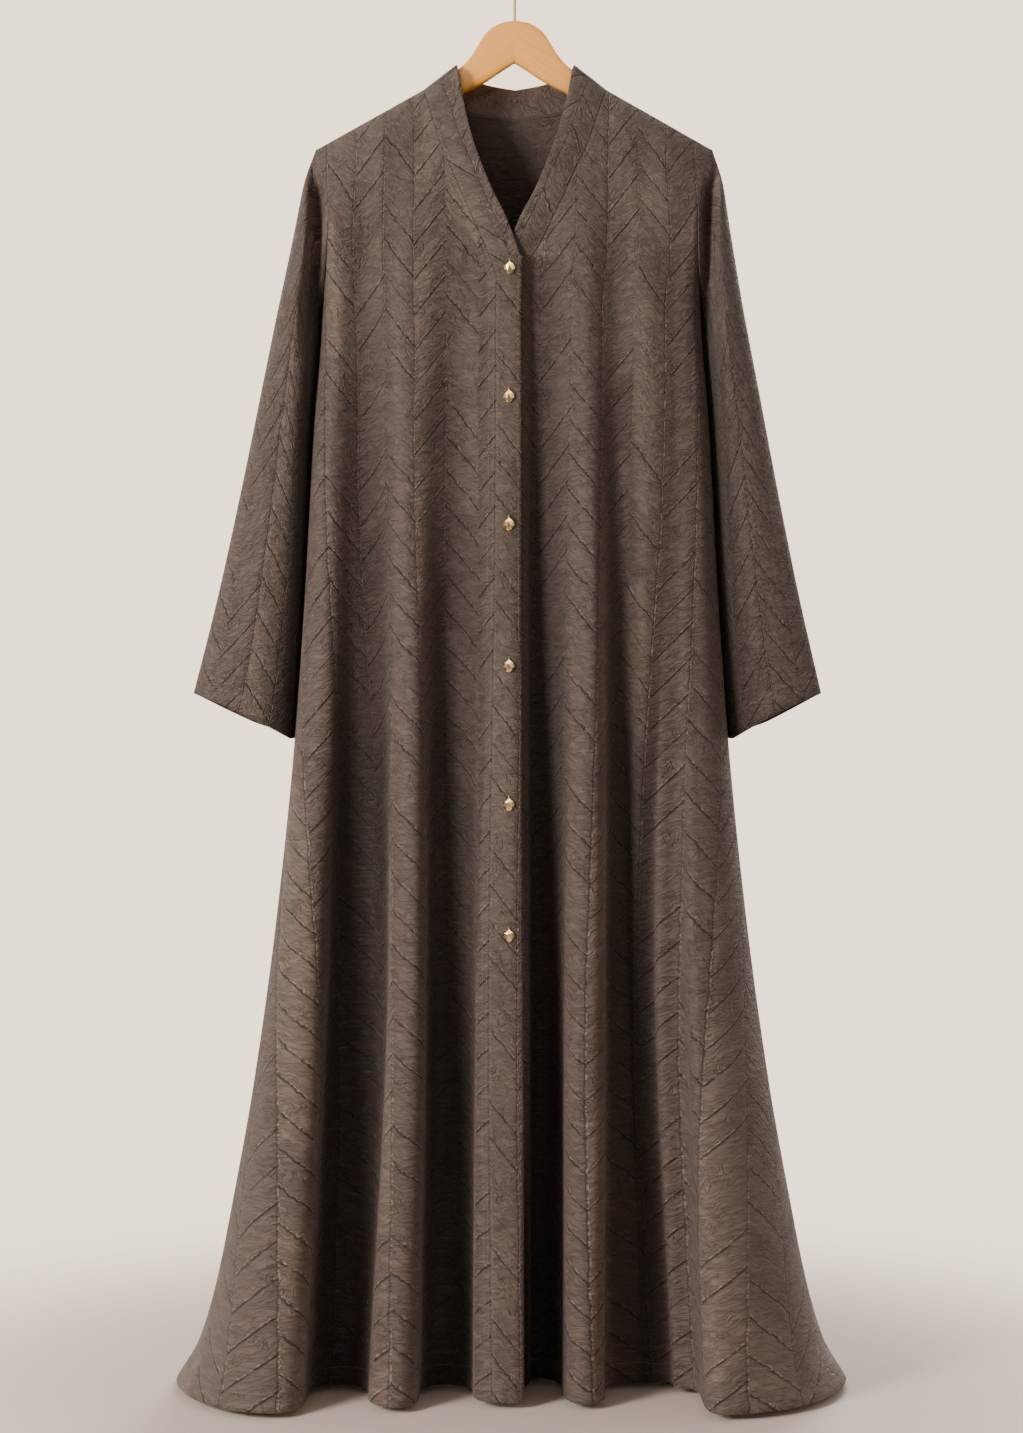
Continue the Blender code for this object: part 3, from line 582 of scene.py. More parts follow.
def collar_grid(step, width):
    """The collar from the over front's end round the neck to the under front's end."""
    top, end = COLLAR_FRONT[0].seam_drop, COLLAR_FRONT[-1].seam_drop
    steps = round((end - top) / step)
    front = [mix(top, end, (k / steps) ** 1.3) for k in range(steps + 1)]
    behind = [NECK_POINT.across * (1.0 - k / 44.0) ** 0.9 for k in range(1, 45)]
    rows = [collar_row(COLLAR_FRONT, "seam_drop", drop, True, width) for drop in reversed(front)]
    rows += [collar_row(COLLAR_BACK, "seam_across", at, True, width) for at in behind]
    rows += [collar_row(COLLAR_BACK, "seam_across", at, False, width) for at in reversed(behind[:-1])]
    rows += [collar_row(COLLAR_FRONT, "seam_drop", drop, False, width) for drop in front]
    return rows


SLEEVE_KNOTS = tuple(i / (len(SLEEVE) - 1) for i in range(len(SLEEVE)))


@lru_cache(maxsize=None)
def sleeve_at(value, run):
    return through(SLEEVE_KNOTS, tuple(getattr(r, value) for r in SLEEVE), run)


def sleeve_point(run, toward, sign, mirror):
    """A point of a sleeve: run is 0 at the armhole and 1 at the cuff, toward 0 on its outer side."""
    side = "front" if sign > 0 else "back"
    seam_drop = mix(SHOULDER_TIP.drop, UNDERARM, toward)
    seam_across = side_edge(seam_drop)
    seam_out = max(plain_out(seam_across, seam_drop, side) * roll(seam_across, seam_drop), 0.0)
    drop = mix(sleeve_at("outer_drop", run), sleeve_at("inner_drop", run), toward)
    inner_across = side_edge(sleeve_at("inner_drop", run)) + SLEEVE_CLEARANCE * ease(run / 0.12)
    bend = seam_across - mix(SHOULDER_TIP.across, side_edge(UNDERARM), toward)
    across = mix(sleeve_at("outer_across", run), inner_across, toward) + bend * (1.0 - ease(run / 0.22))
    beyond = max(across - side_edge(drop), 0.0)
    strip = seam_out * (1.0 - ease(beyond / 0.013)) * (1.0 - ease((drop - 0.20) / 0.07))
    main = sleeve_at("depth", run) * max(math.sin(math.acos(1.0 - 2.0 * toward)), 0.0) ** (2.0 / 2.3)
    shallow = mix(VALLEY_FLOOR, 1.0, ease((beyond - VALLEY_START) / VALLEY_WIDTH))
    turned = main * shallow if sign > 0 else main
    hanging = max(mix(turned, main, ease((drop - 0.22) / 0.10)), strip)
    out = mix(seam_out, hanging, ease(run / 0.05))
    middle = ease(run / 0.08) * math.sin(math.pi * toward) ** 0.5
    out += wander(across + 3.0 * mirror, drop, 11.0 + sign) * middle * 0.8
    out += hem_step(run, 0.041, 1.0) * middle
    sway = SLEEVE_SWAY * run * run * (1.0 - toward)
    if sign < 0.0:
        behind = ease((toward - 0.55) / 0.40) * ease(out / 0.020) * ease((drop - UNDERARM + 0.012) / 0.024)
        across -= SLEEVE_TUCK * behind
    open_cuff = ease((run - 0.75) / 0.25) * math.sin(math.pi * toward) ** 0.8
    drop += CUFF_OPENS * open_cuff * (-0.75 if sign > 0.0 else 0.45)
    return place_point(mirror * (across + SEAM_GAP) + sway, sign * out, drop)


def sleeve_grid(mirror, rings, half):
    """Rings of points from the armhole to the cuff, each down its front side and up its back side."""
    shares = [0.5 - 0.5 * math.cos(math.pi * k / half) for k in range(half + 1)]
    around = [(share, 1.0) for share in shares] + [(share, -1.0) for share in shares[-2:0:-1]]
    grid = []
    for i in range(rings + 1):
        run = (i / rings) ** 1.15
        grid.append([sleeve_point(run, toward, sign, mirror) for toward, sign in around])
    return grid


def grid_normals(grid, closed, facing):
    """The outward normal at each point of a grid, all on the side of facing at its middle."""
    count, width = len(grid), len(grid[0])
    normals = []
    for i in range(count):
        line = []
        for k in range(width):
            up, down = grid[max(i - 1, 0)][k], grid[min(i + 1, count - 1)][k]
            if closed:
                left, right = grid[i][k - 1], grid[i][(k + 1) % width]
            else:
                left, right = grid[i][max(k - 1, 0)], grid[i][min(k + 1, width - 1)]
            line.append((down - up).cross(right - left).normalized())
        normals.append(line)
    middle = normals[count // 2][width // 4]
    if middle.dot(Vector(facing)) < 0.0:
        normals = [[-n for n in line] for line in normals]
    return normals


def cloth_lengths(grid, closed):
    """How far each point lies along the cloth from the first one of its row."""
    width = len(grid[0])
    across = []
    for row in grid:
        line = [0.0]
        for k in range(1, width + closed):
            line.append(line[-1] + (row[k % width] - row[k - 1]).length)
        across.append(line)
    return across


def area_of(grid, closed):
    width = len(grid[0])
    total = 0.0
    for upper, lower in zip(grid, grid[1:]):
        for k in range(width - (not closed)):
            after = (k + 1) % width
            total += 0.5 * (upper[after] - lower[k]).cross(upper[k] - lower[after]).length
    return total


def painted_fold_shade(grid, side, walls=None):
    """Painted shade for each point, from how deep it lies in a fold: 0 on a ridge, nearly 1 far down
    between two ridges.
    """
    depths = []
    for i, row in enumerate(grid):
        outs = [abs(p.y) - plain_out(abs(p.x - CENTRE_SHIFT), NECK_Z - p.z, side) for p in row]
        step = max(abs(row[1].x - row[0].x), abs(row[-1].x - row[0].x) / len(row))
        reach = max(2, round(FOLD_SHADE_REACH / step))
        wall = walls[i] if walls else NO_WALL
        line = []
        for k, out in enumerate(outs):
            first = max(outs[max(k - reach, 0) : k + 1])
            if k < reach:
                first = max(first, wall)
            last = max(outs[k : k + reach + 1])
            line.append(1.0 - math.exp(-max(min(first, last) - out, 0.0) / FOLD_SHADE_DEPTH))
        depths.append(line)
    return depths


def placed(name, data, place=(0.0, 0.0, 0.0), aim=None):
    """A new object of the scene, turned towards a point if one is given."""
    made = bpy.data.objects.new(name, data)
    made.location = place
    if aim:
        made.rotation_euler = (Vector(aim) - Vector(place)).to_track_quat("-Z", "Y").to_euler()
    bpy.context.scene.collection.objects.link(made)
    return made


def finished(name, bm, materials, slot, node=None, smooth=None):
    """An object from the finished faces, riding on the part."""
    bmesh.ops.recalc_face_normals(bm, faces=bm.faces[:])
    mesh = bpy.data.meshes.new(name)
    bm.to_mesh(mesh)
    bm.free()
    if smooth is not None:
        mesh.shade_smooth()
        mesh.set_sharp_from_angle(angle=math.radians(smooth))
    for material in materials:
        mesh.materials.append(material)
    made = placed(name, mesh)
    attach(made, "root")
    if node:
        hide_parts(node)
    return made


def tube(bm, rings):
    """Faces round a row of rings."""
    for ring, following in zip(rings, rings[1:]):
        for k in range(len(ring)):
            after = (k + 1) % len(ring)
            bm.faces.new((ring[k], ring[after], following[after], following[k]))


def shell(node, grid, materials, facing, lay, painted_shades=None, closed=False):
    """A piece of cloth: its outer side, its reverse, and rounded edges between them."""
    normals = grid_normals(grid, closed, facing)
    lengths = cloth_lengths(grid, closed)
    count, width = len(grid), len(grid[0])
    bm = bmesh.new()
    weave = bm.loops.layers.uv.new("weave")
    # A second UV map carries the painted fold shade of each point.
    shade = bm.loops.layers.uv.new("hollow")
    outer = [[bm.verts.new(p) for p in row] for row in grid]
    inner = []
    for row, ways in zip(grid, normals):
        inner.append([bm.verts.new(p - WALL * n) for p, n in zip(row, ways)])

    def add(corners, spots, slot):
        face = bm.faces.new(corners)
        face.material_index = slot
        face.smooth = True
        for loop, (i, k) in zip(face.loops, spots):
            loop[weave].uv = lay(i, lengths[i][k], grid[i][k % width])
            loop[shade].uv = (painted_shades[i][k % width] if painted_shades else 0.0, 0.0)

    for sheet, slot in ((outer, 0), (inner, 1)):
        for i in range(count - 1):
            for k in range(width - (not closed)):
                after = (k + 1) % width
                corners = (sheet[i][k], sheet[i + 1][k], sheet[i + 1][after], sheet[i][after])
                add(corners, ((i, k), (i + 1, k), (i + 1, k + 1), (i, k + 1)), slot)

    def rim(line, ahead):
        """Two strips round an edge, whose middle line stands out by a third of the wall."""
        middle = []
        for (i, k), (j, m) in zip(line, ahead):
            way = (grid[i][k] - grid[j][m]).normalized()
            middle.append(bm.verts.new(grid[i][k] - 0.5 * WALL * normals[i][k] + 0.34 * WALL * way))
        for n in range(len(line) - (not closed)):
            after = (n + 1) % len(line)
            (i, k), (j, m) = line[n], line[after]
            spots = ((i, k), (j, m), (j, m), (i, k))
            add((outer[i][k], outer[j][m], middle[after], middle[n]), spots, 0)
            add((middle[n], middle[after], inner[j][m], inner[i][k]), spots, 0)
        return middle

    top = rim([(0, k) for k in range(width)], [(1, k) for k in range(width)])
    low = rim([(count - 1, k) for k in range(width)], [(count - 2, k) for k in range(width)])
    if not closed:
        left = rim([(i, 0) for i in range(count)], [(i, 1) for i in range(count)])
        right = rim([(i, width - 1) for i in range(count)], [(i, width - 2) for i in range(count)])
        for i, k, ends in (
            (0, 0, (top[0], left[0])),
            (0, width - 1, (top[-1], right[0])),
            (count - 1, 0, (low[0], left[-1])),
            (count - 1, width - 1, (low[-1], right[-1])),
        ):
            for sheet in (outer, inner):
                add((sheet[i][k], *ends), [(i, k)] * 3, 0)
    made = finished(node + "_cloth", bm, materials, SLOTS[node], node)
    down = 0.0
    for k in (0, width // 2, width - 1):
        down = max(down, sum((grid[i + 1][k] - grid[i][k]).length for i in range(count - 1)))
    area = area_of(grid, closed)
    return grid, normals


class Value:
    """An output of a node, which can stand in sums."""

    def __init__(self, nodes, socket):
        self.nodes = nodes
        self.socket = socket

    def __add__(self, other):
        return self.nodes.math("ADD", self, other)

    def __sub__(self, other):
        return self.nodes.math("SUBTRACT", self, other)

    def __rsub__(self, other):
        return self.nodes.math("SUBTRACT", other, self)

    def __mul__(self, other):
        return self.nodes.math("MULTIPLY", self, other)

    def __truediv__(self, other):
        return self.nodes.math("DIVIDE", self, other)

    def __abs__(self):
        return self.nodes.math("ABSOLUTE", self)

    def __floor__(self):
        return self.nodes.math("FLOOR", self)


class Nodes:
    """The nodes of a material or of the world. Their inputs may be numbers, colours or Values."""

    def __init__(self, owner):
        owner.use_nodes = True
        self.tree = owner.node_tree

    def set(self, node, key, value):
        socket = node.inputs[key]
        if isinstance(value, Value):
            self.tree.links.new(value.socket, socket)
        elif isinstance(value, tuple) and socket.type == "RGBA":
            socket.default_value = (*value, 1.0)
        else:
            socket.default_value = value

    def node(self, kind, out, inputs=None, **settings):
        """One of the outputs of a new node."""
        made = self.tree.nodes.new("ShaderNode" + kind)
        for key, value in settings.items():
            setattr(made, key, value)
        for key, value in (inputs or {}).items():
            self.set(made, key, value)
        return Value(self, made.outputs[out])

    def math(self, operation, *values):
        return self.node("Math", 0, dict(enumerate(values)), operation=operation)


class Surface(Nodes):
    """A material with one shader."""

    def __init__(self, name, colour, roughness, metallic=0.0):
        self.material = bpy.data.materials.new(name)
        super().__init__(self.material)
        self.shader = self.tree.nodes["Principled BSDF"]
        for key, value in (("Base Color", colour), ("Roughness", roughness), ("Metallic", metallic)):
            self.look(key, value)

    def look(self, key, value):
        self.set(self.shader, key, value)

    def uv(self, name):
        """The two coordinates of a UV map."""
        place = self.node("UVMap", "UV", uv_map=name)
        across = self.node("SeparateXYZ", "X", {"Vector": place})
        return across, Value(self, across.socket.node.outputs["Y"])

    def ramp(self, value, low, high, start=0.0, end=1.0):
        inputs = {"Value": value, "From Min": low, "From Max": high, "To Min": start, "To Max": end}
        return self.node("MapRange", "Result", inputs, interpolation_type="SMOOTHSTEP")

    def vector(self, x, y, z=0.0):
        return self.node("CombineXYZ", "Vector", {"X": x, "Y": y, "Z": z})

    def chance(self, a, b):
        """A fixed random number for each pair of whole numbers."""
        pair = {"Vector": self.vector(a, b)}
        return self.node("TexWhiteNoise", "Value", pair, noise_dimensions="2D")

    def noise(self, place, detail=2.0, rough=0.5, twist=0.0):
        if isinstance(place, tuple):
            place = self.vector(*place)
        inputs = {"Vector": place, "Scale": 1.0, "Detail": detail, "Roughness": rough, "Distortion": twist}
        return self.node("TexNoise", "Fac", inputs)

    def object_noise(self, waves, detail):
        """Noise with so many waves to a metre along each of the object's own axes."""
        inputs = {0: self.node("TexCoord", "Object"), 1: waves}
        place = self.node("VectorMath", "Vector", inputs, operation="MULTIPLY")
        return self.noise(place, detail)

    def blend(self, share, start, end, kind="MIX"):
        inputs = {0: share, 6: start, 7: end}
        return self.node("Mix", 2, inputs, data_type="RGBA", blend_type=kind)

    def bump(self, height, distance):
        inputs = {"Height": height, "Distance": distance, "Strength": 1.0}
        self.look("Normal", self.node("Bump", "Normal", inputs))


def woven(name, light, dark, seed, jacquard=1.0):
    """Crinkled jacquard: columns with slanting slub lines that turn over at each column."""
    cloth = Surface(name, light, 0.66)
    u, v = cloth.uv("weave")

    def waves(across, down, layer=0.0, detail=2.0):
        """Noise with so many waves to a metre across and down the cloth."""
        return cloth.noise((u * across, v * down, seed + layer), detail)

    def near(distance, full, none):
        """1 up to one distance from a line, and 0 beyond another."""
        return cloth.ramp(distance, full, none, 1.0, 0.0)

    # Where each point lies in its column, and between two slub lines.
    slow, quick = waves(55.0, 38.0), waves(190.0, 170.0, 3.0)
    shake = (slow - 0.5) * 0.0060 + (quick - 0.5) * 0.0042
    along = v + shake
    place_u = (u + shake * 0.45) / COLUMN
    number = math.floor(place_u)
    half = number * 0.5
    parity = (half - math.floor(half)) * 2.0
    slant = (1.0 - parity * 2.0) * (place_u - number - 0.5) * (COLUMN * LINE_TILT)
    place_t = (along + slant + cloth.chance(number, seed) * 0.024) / LINE_STEP
    line = math.floor(place_t)
    off_line = (place_t - line - 0.5) * (LINE_STEP * LINE_LEVEL)
    from_line = abs(off_line)
    lucky = cloth.chance(number + 0.37, line + seed)
    seam_number = math.floor(place_u + 0.5)
    off_seam = (place_u - seam_number) * COLUMN
    from_seam = abs(off_seam)
    strong = cloth.ramp(cloth.chance(seam_number, seed + 2.0), 0.10, 0.60, 0.30, 1.0)

    # The grooves of slub lines and column seams, with knots beside them.
    broken = cloth.ramp(waves(95.0, 95.0, 8.0), 0.34, 0.47, 0.35, 1.0)
    kept = cloth.ramp(lucky, 0.10, 0.30, 0.15, 1.0) * broken
    slub = near(from_line, 0.0004, 0.0012) * kept
    spots = cloth.ramp(waves(270.0, 270.0, 6.0, 1.0), 0.48, 0.58)
    slub_knots = near(abs(off_line - 0.0014), 0.0005, 0.0013) * kept * spots
    dashes = cloth.ramp(waves(30.0, 260.0, 1.0, 1.0), 0.50, 0.58)
    seam_knots = near(from_seam, 0.0005, 0.0012) * (strong * dashes)
    seam = near(abs(off_seam + 0.0009), 0.0003, 0.0011) * strong
    grooves = cloth.math("MINIMUM", slub + seam * 0.55, 1.0)
    beads = cloth.math("MINIMUM", slub_knots + seam_knots, 1.0)

    # The crinkled ground, gathered at the lines, with a few longer creases.
    drawn = (slow - 0.5) * 9.0 + slant * 130.0
    crinkle = cloth.ramp(cloth.noise((u * 75.0, v * 370.0 + drawn, seed), 2.0, 0.55, 0.5), 0.36, 0.64)
    ripple = cloth.ramp(cloth.noise((u * 42.0, v * 150.0, seed + 4.0), 2.0, 0.5, 0.8), 0.28, 0.72)
    thread = waves(2600.0, 1500.0, 0.0, 1.0)
    gathered = cloth.ramp(from_seam, 0.001, 0.013, 1.0, 0.62)
    pucker = near(from_line, 0.0008, 0.0060) * kept
    gather = near(from_seam, 0.0008, 0.0060) * strong
    wrinkle = abs(cloth.noise((u * 62.0, along * 48.0, seed + 12.0), 2.0, 0.6, 0.9) - 0.5)
    crease = near(wrinkle, 0.004, 0.030) * cloth.ramp(waves(40.0, 30.0, 14.0, 1.0), 0.46, 0.60)
    height = crinkle * gathered * 1.15 + ripple * 0.95 - crease * 0.75 + thread * 0.03
    height = height - grooves * jacquard + beads * (0.80 * jacquard)
    cloth.bump(height - (pucker + gather) * (0.42 * jacquard), 0.001)

    # Darker cells and columns of the weave's own colour; painted light and shade of the relief; painted
    # shade of the folds.
    cell = cloth.chance(number + 0.13, math.floor(place_t * 0.5) + (seed + 7.0))
    whole = cloth.ramp(cloth.chance(number + 0.53, seed + 9.0), 0.50, 0.52)
    tone = cloth.math("MAXIMUM", cloth.ramp(cell, 0.62, 0.65) * 0.6, whole * 0.9) * jacquard
    # Painted light and shade of the relief: lighter on the crinkles and ripples, darker in the creases and
    # grooves; the knots are lighter.
    shade = (ripple * 0.6 + crinkle) * 0.39 + 0.69
    shade = shade * (1.0 - crease * 0.22) * (1.0 - grooves * (0.72 * jacquard))
    shade = (shade + beads * (0.95 * jacquard)) * (thread * 0.08 + 0.96)
    # Painted shade in the folds, darker the deeper a point lies between ridges.
    deep = cloth.uv("hollow")[0]
    losses = zip(("Red", "Green", "Blue"), HOLLOW_SHADE)
    tint = {part: shade * (1.0 - deep * loss) for part, loss in losses}
    tint = cloth.node("CombineColor", "Color", tint)
    cloth.look("Base Color", cloth.blend(1.0, cloth.blend(tone, light, dark), tint, "MULTIPLY"))
    cloth.look("Roughness", cloth.ramp(crinkle, 0.0, 1.0, 0.60, 0.74))
    cloth.look("Sheen Weight", 0.10)
    cloth.look("Sheen Roughness", 0.45)
    cloth.look("Sheen Tint", (0.92, 0.86, 0.80))
    cloth.look("Specular IOR Level", 0.22)
    return cloth.material


def wooden(name, seed):
    """Pale beech with long soft grain and short darker flecks."""
    wood = Surface(name, (0.76, 0.49, 0.27), 0.40)
    u, v = wood.uv("grain")
    bend = wood.noise((u * 9.0, v * 22.0, seed))
    rings = wood.noise((u * 5.0, v * 230.0 + bend * 9.0, seed), 3.0)
    fibres = wood.noise((u * 70.0, v * 2600.0, seed))
    flecks = wood.noise((u * 150.0, v * 1500.0, seed + 4.0), 1.0)
    base = wood.blend(wood.ramp(rings, 0.36, 0.66), (1.0, 0.43, 0.058), (0.91, 0.355, 0.040))
    base = wood.blend(wood.ramp(flecks, 0.60, 0.74) * 0.35, base, (0.60, 0.26, 0.06))
    wood.look("Base Color", base)
    wood.look("Roughness", wood.ramp(fibres, 0.3, 0.7, 0.36, 0.46))
    wood.look("Coat Weight", 0.18)
    wood.look("Coat Roughness", 0.25)
    wood.bump(fibres * 0.5 + rings * 0.4, 0.00010)
    return wood.material


def metal(name, colour, roughness, waves):
    """Polished metal with faint marks and slightly uneven gloss."""
    made = Surface(name, colour, roughness, 1.0)
    marks = made.object_noise((waves, waves, 0.25 * waves), 3.0)
    made.look("Roughness", made.ramp(marks, 0.3, 0.75, 0.8 * roughness, 1.5 * roughness))
    worn = tuple(0.86 * c for c in colour)
    made.look("Base Color", made.blend(made.ramp(marks, 0.35, 0.8), colour, worn))
    made.bump(marks, 0.00003)
    return made.material


def sewing_thread(name, colour):
    made = Surface(name, colour, 0.55)
    twist = made.object_noise((2600.0, 2600.0, 2600.0), 1.0)
    shaded = tuple(0.8 * c for c in colour)
    made.look("Base Color", made.blend(made.ramp(twist, 0.35, 0.65), colour, shaded))
    made.bump(twist, 0.0001)
    return made.material


# A near-black cloth for sheets of painted shadow in openings.
def slit_shadow_material(name, colour):
    made = Surface(name, colour, 0.8)
    made.bump(made.object_noise((1500.0, 1500.0, 1500.0), 2.0), 0.0002)
    return made.material


TAUPE, DARK_TAUPE = (0.150, 0.110, 0.0865), (0.104, 0.0745, 0.0605)
cloth = woven("jacquard", TAUPE, DARK_TAUPE, 2.0)
cloth_back = woven("jacquard_back", TAUPE, DARK_TAUPE, 11.0)
sleeve_cloth = woven("jacquard_sleeve", TAUPE, DARK_TAUPE, 23.0)
band_cloth = woven("jacquard_band", (0.120, 0.088, 0.070), (0.096, 0.069, 0.057), 31.0, 0.9)
# The reverse sides and the collar's inside: a plainer weave of their own, darker than the outer side
# partly as painted shade of the garment's inside.
reverse = woven("jacquard_reverse", (0.086, 0.0625, 0.049), (0.076, 0.055, 0.044), 43.0, 0.12)
band_inside = woven("jacquard_band_inside", (0.088, 0.064, 0.050), (0.072, 0.051, 0.042), 57.0, 0.5)
thread = sewing_thread("taupe_thread", (0.22, 0.165, 0.13))
slit = slit_shadow_material("buttonhole_shadow", (0.035, 0.026, 0.021))
gold = metal("champagne_gold_metal", (1.0, 0.72, 0.36), 0.15, 900.0)
brass = metal("brass_wire", (0.34, 0.235, 0.095), 0.36, 500.0)
FORWARD, BACKWARD = (0, -1, 0), (0, 1, 0)


def lay_panel(side, grid):
    """Weave coordinates: across along the cloth from the centre line, down from the neck point."""
    widths = [line[-1] for line in cloth_lengths(grid, False)]

    def lay(i, length, point):
        spread = (CHEST_WIDTH / max(widths[i], CHEST_WIDTH)) ** NARROWING
        seam = abs(grid[i][0].x - CENTRE_SHIFT)
        return side * (seam + length * spread), point.z - NECK_Z

    return lay


def lay_back(i, length, point):
    spread = (2.0 * CHEST_WIDTH / max(BACK_WIDTHS[i], 2.0 * CHEST_WIDTH)) ** NARROWING
    return (length - 0.5 * BACK_WIDTHS[i]) * spread, point.z - NECK_Z


def lay_ribbon(i, length, point):
    return length + 0.0050, point.z - NECK_Z


def lay_collar(i, length, point):
    return length + 0.012, COLLAR_RUN[i]


def placket_wall(drop):
    """How far the placket's edge stands out over the under front, below the collar's end."""
    if drop <= PLACKET_STARTS:
        return NO_WALL
    return over_point(placket_edge(drop), drop)[1] - plain_out(0.0, drop, "front")


def front(node, side, grid, walls=None):
    # Painted shade in the fronts' folds.
    dark = painted_fold_shade(grid, "front", walls)
    return shell(node, grid, (cloth, reverse), FORWARD, lay_panel(side, grid), dark)


def sleeve(node, mirror, rings, half):
    """A sleeve, with painted shade on its inner side, where it lies in the body's shade."""
    across = [0.5 - 0.5 * math.cos(math.pi * k / half) for k in range(half + 1)]
    # Painted shade, from none on the outer half to most at the inner edge, down the front side and up the
    # back.
    line = [0.85 * ease((share - 0.45) / 0.55) ** 1.2 for share in across]
    line += line[-2:0:-1]

    def lay(i, length, point):
        return -mirror * length, point.z - NECK_Z

    grid = sleeve_grid(mirror, rings, half)
    return shell(node, grid, (sleeve_cloth, reverse), FORWARD, lay, [line] * (rings + 1), True)


rows = fine_rows(0.0056)
over = front("front_right", -1.0, front_grid(placket_seam, -1.0, over_point, rows, 118))
# The placket's edge stands as a ridge for the painted shade of the under front beside it.
walls = [placket_wall(row.neck_drop) for row in rows]
under = front("front_left", 1.0, front_grid(band_seam, 1.0, under_point, rows, 122), walls)
grid = back_grid(fine_rows(0.0070), 210)
BACK_WIDTHS = [line[-1] for line in cloth_lengths(grid, False)]
# The back gets painted shade in its folds as well.
back = shell("back", grid, (cloth_back, reverse), BACKWARD, lay_back, painted_fold_shade(grid, "back"))
grid = ribbon_grid(placket_seam, placket_edge, over_point, -1.0, rows, 14, 0.0004)
placket = shell("placket", grid, (band_cloth, reverse), FORWARD, lay_ribbon)
grid = ribbon_grid(band_seam, band_edge, under_point, 1.0, rows, 14, 0.0)
shell("button_band", grid, (band_cloth, reverse), FORWARD, lay_ribbon)
grid = collar_grid(0.0022, 16)
COLLAR_RUN = [0.0]
for upper, lower in zip(grid, grid[1:]):
    both = (lower[0] - upper[0]).length + (lower[-1] - upper[-1]).length
    COLLAR_RUN.append(COLLAR_RUN[-1] + 0.5 * both)
collar = shell("collar", grid, (band_cloth, band_inside), BACKWARD, lay_collar)
right = sleeve("sleeve_right", -1.0, 110, 44)
left = sleeve("sleeve_left", 1.0, 110, 44)


def inset(piece, offset, edge):
    """Points that lie a given distance along the cloth from one of a piece's edges."""
    lines = [list(zip(row, ways)) for row, ways in zip(*piece)]
    if edge.endswith("row"):
        lines = [list(line) for line in zip(*lines)]
    if edge.startswith("last"):
        lines = [line[::-1] for line in lines]
    found = []
    for line in lines:
        left_over = offset
        for (a, way), (b, _) in zip(line, line[1:]):
            step = (b - a).length
            if step >= left_over:
                found.append((a.lerp(b, left_over / step), way))
                break
            left_over -= step
    return found


def ring_at(bm, centre, one, wide, other, high, count):
    """Points round a centre, so wide along one direction and so high along the other."""
    ring = []
    for k in range(count):
        angle = 2.0 * math.pi * k / count
        spot = centre + one * (wide * math.cos(angle))
        ring.append(bm.verts.new(spot + other * (high * math.sin(angle))))
    return ring


def stitches(bm, run, loop=False):
    """Short stitches along a run of points, each pulled a little into the cloth at its ends."""
    if loop:
        run = run + run[:1]
    travelled, due = 0.0, 0.5 * STITCH_STEP
    for (a, way), (b, _) in zip(run, run[1:]):
        length = (b - a).length
        if length < 1e-7:
            continue
        ahead = (b - a) / length
        while due < travelled + length:
            middle = a + ahead * (due - travelled)
            size = STITCH * rng.uniform(0.86, 1.08)
            turn = rng.uniform(-0.10, 0.10)
            side = ahead.cross(way).normalized()
            line = (ahead + side * turn).normalized()
            side = line.cross(way).normalized()
            rings = []
            for place, swell, lift in STITCH_RINGS:
                spot = middle + line * (place * size) + way * lift
                wide, high = STITCH_THICK * 0.5 * swell, STITCH_THICK * 0.42 * swell
                rings.append(ring_at(bm, spot, side, wide, way, high, 5))
            tube(bm, rings)
            bm.faces.new(rings[0])
            bm.faces.new(rings[-1])
            due += STITCH_STEP
        travelled += length


def sewn(name, slot, runs):
    """One object with the stitches of several runs, some of which close."""
    bm = bmesh.new()
    for run, loop in runs:
        stitches(bm, run, loop)
    finished(name, bm, (thread,), slot, smooth=60)


def front_seams():
    """The rows of stitches beside the fronts' seams, the collar's seam and the back of the neck."""
    end = NECK_Z - COLLAR_FRONT[-1].seam_drop + 0.004
    for piece, offset in (
        (over, SEAM_STITCH),
        (under, SEAM_STITCH),
        (placket, SEAM_STITCH),
        (over, SECOND_STITCH),
        (under, SECOND_STITCH),
        (collar, SEAM_STITCH),
    ):
        run = inset(piece, offset, "first column")
        if piece is under:
            run = [spot for spot in run if spot[0].z > end]
        yield run, False
    neck = inset(back, SEAM_STITCH, "first row")
    yield [spot for spot in neck if abs(spot[0].x) < NECK_POINT.across - 0.0025], False


def neck_allowance():
    """The pressed seam allowance inside the back of the neck, which covers the collar's seam."""
    bm = bmesh.new()
    rings = []
    low = Vector((0.0, 0.0, -STRIP_HEIGHT))
    for spot, way in inset(collar, STRIP_INSET, "first column"):
        if spot.y < 0.012:
            continue
        inner = spot - (WALL + 0.0001) * way
        deeper = inner - STRIP_THICK * way
        rings.append([bm.verts.new(p) for p in (inner, deeper, deeper + low, inner + low)])
    tube(bm, rings)
    bm.faces.new(rings[0])
    bm.faces.new(rings[-1])
    finished("neck_allowance", bm, (band_inside,), "jacquard_band", "collar")


sewn("seam_stitches", "jacquard_band", front_seams())
neck_allowance()
edges = ((placket, PLACKET_EDGE_STITCH), (collar, COLLAR_EDGE_STITCH))
sewn("edge_stitches", "jacquard_band", [(inset(*edge, "last column"), False) for edge in edges])
hems = [(inset(piece, HEM_TURN, "last row"), False) for piece in (over, under, back, placket)]
hems += [(inset(piece, CUFF_TURN, "last row"), True) for piece in (right, left)]
sewn("hem_stitches", "jacquard_cloth", hems)


def rounded(value, squareness):
    return math.copysign(abs(value) ** (2.0 / squareness), value)


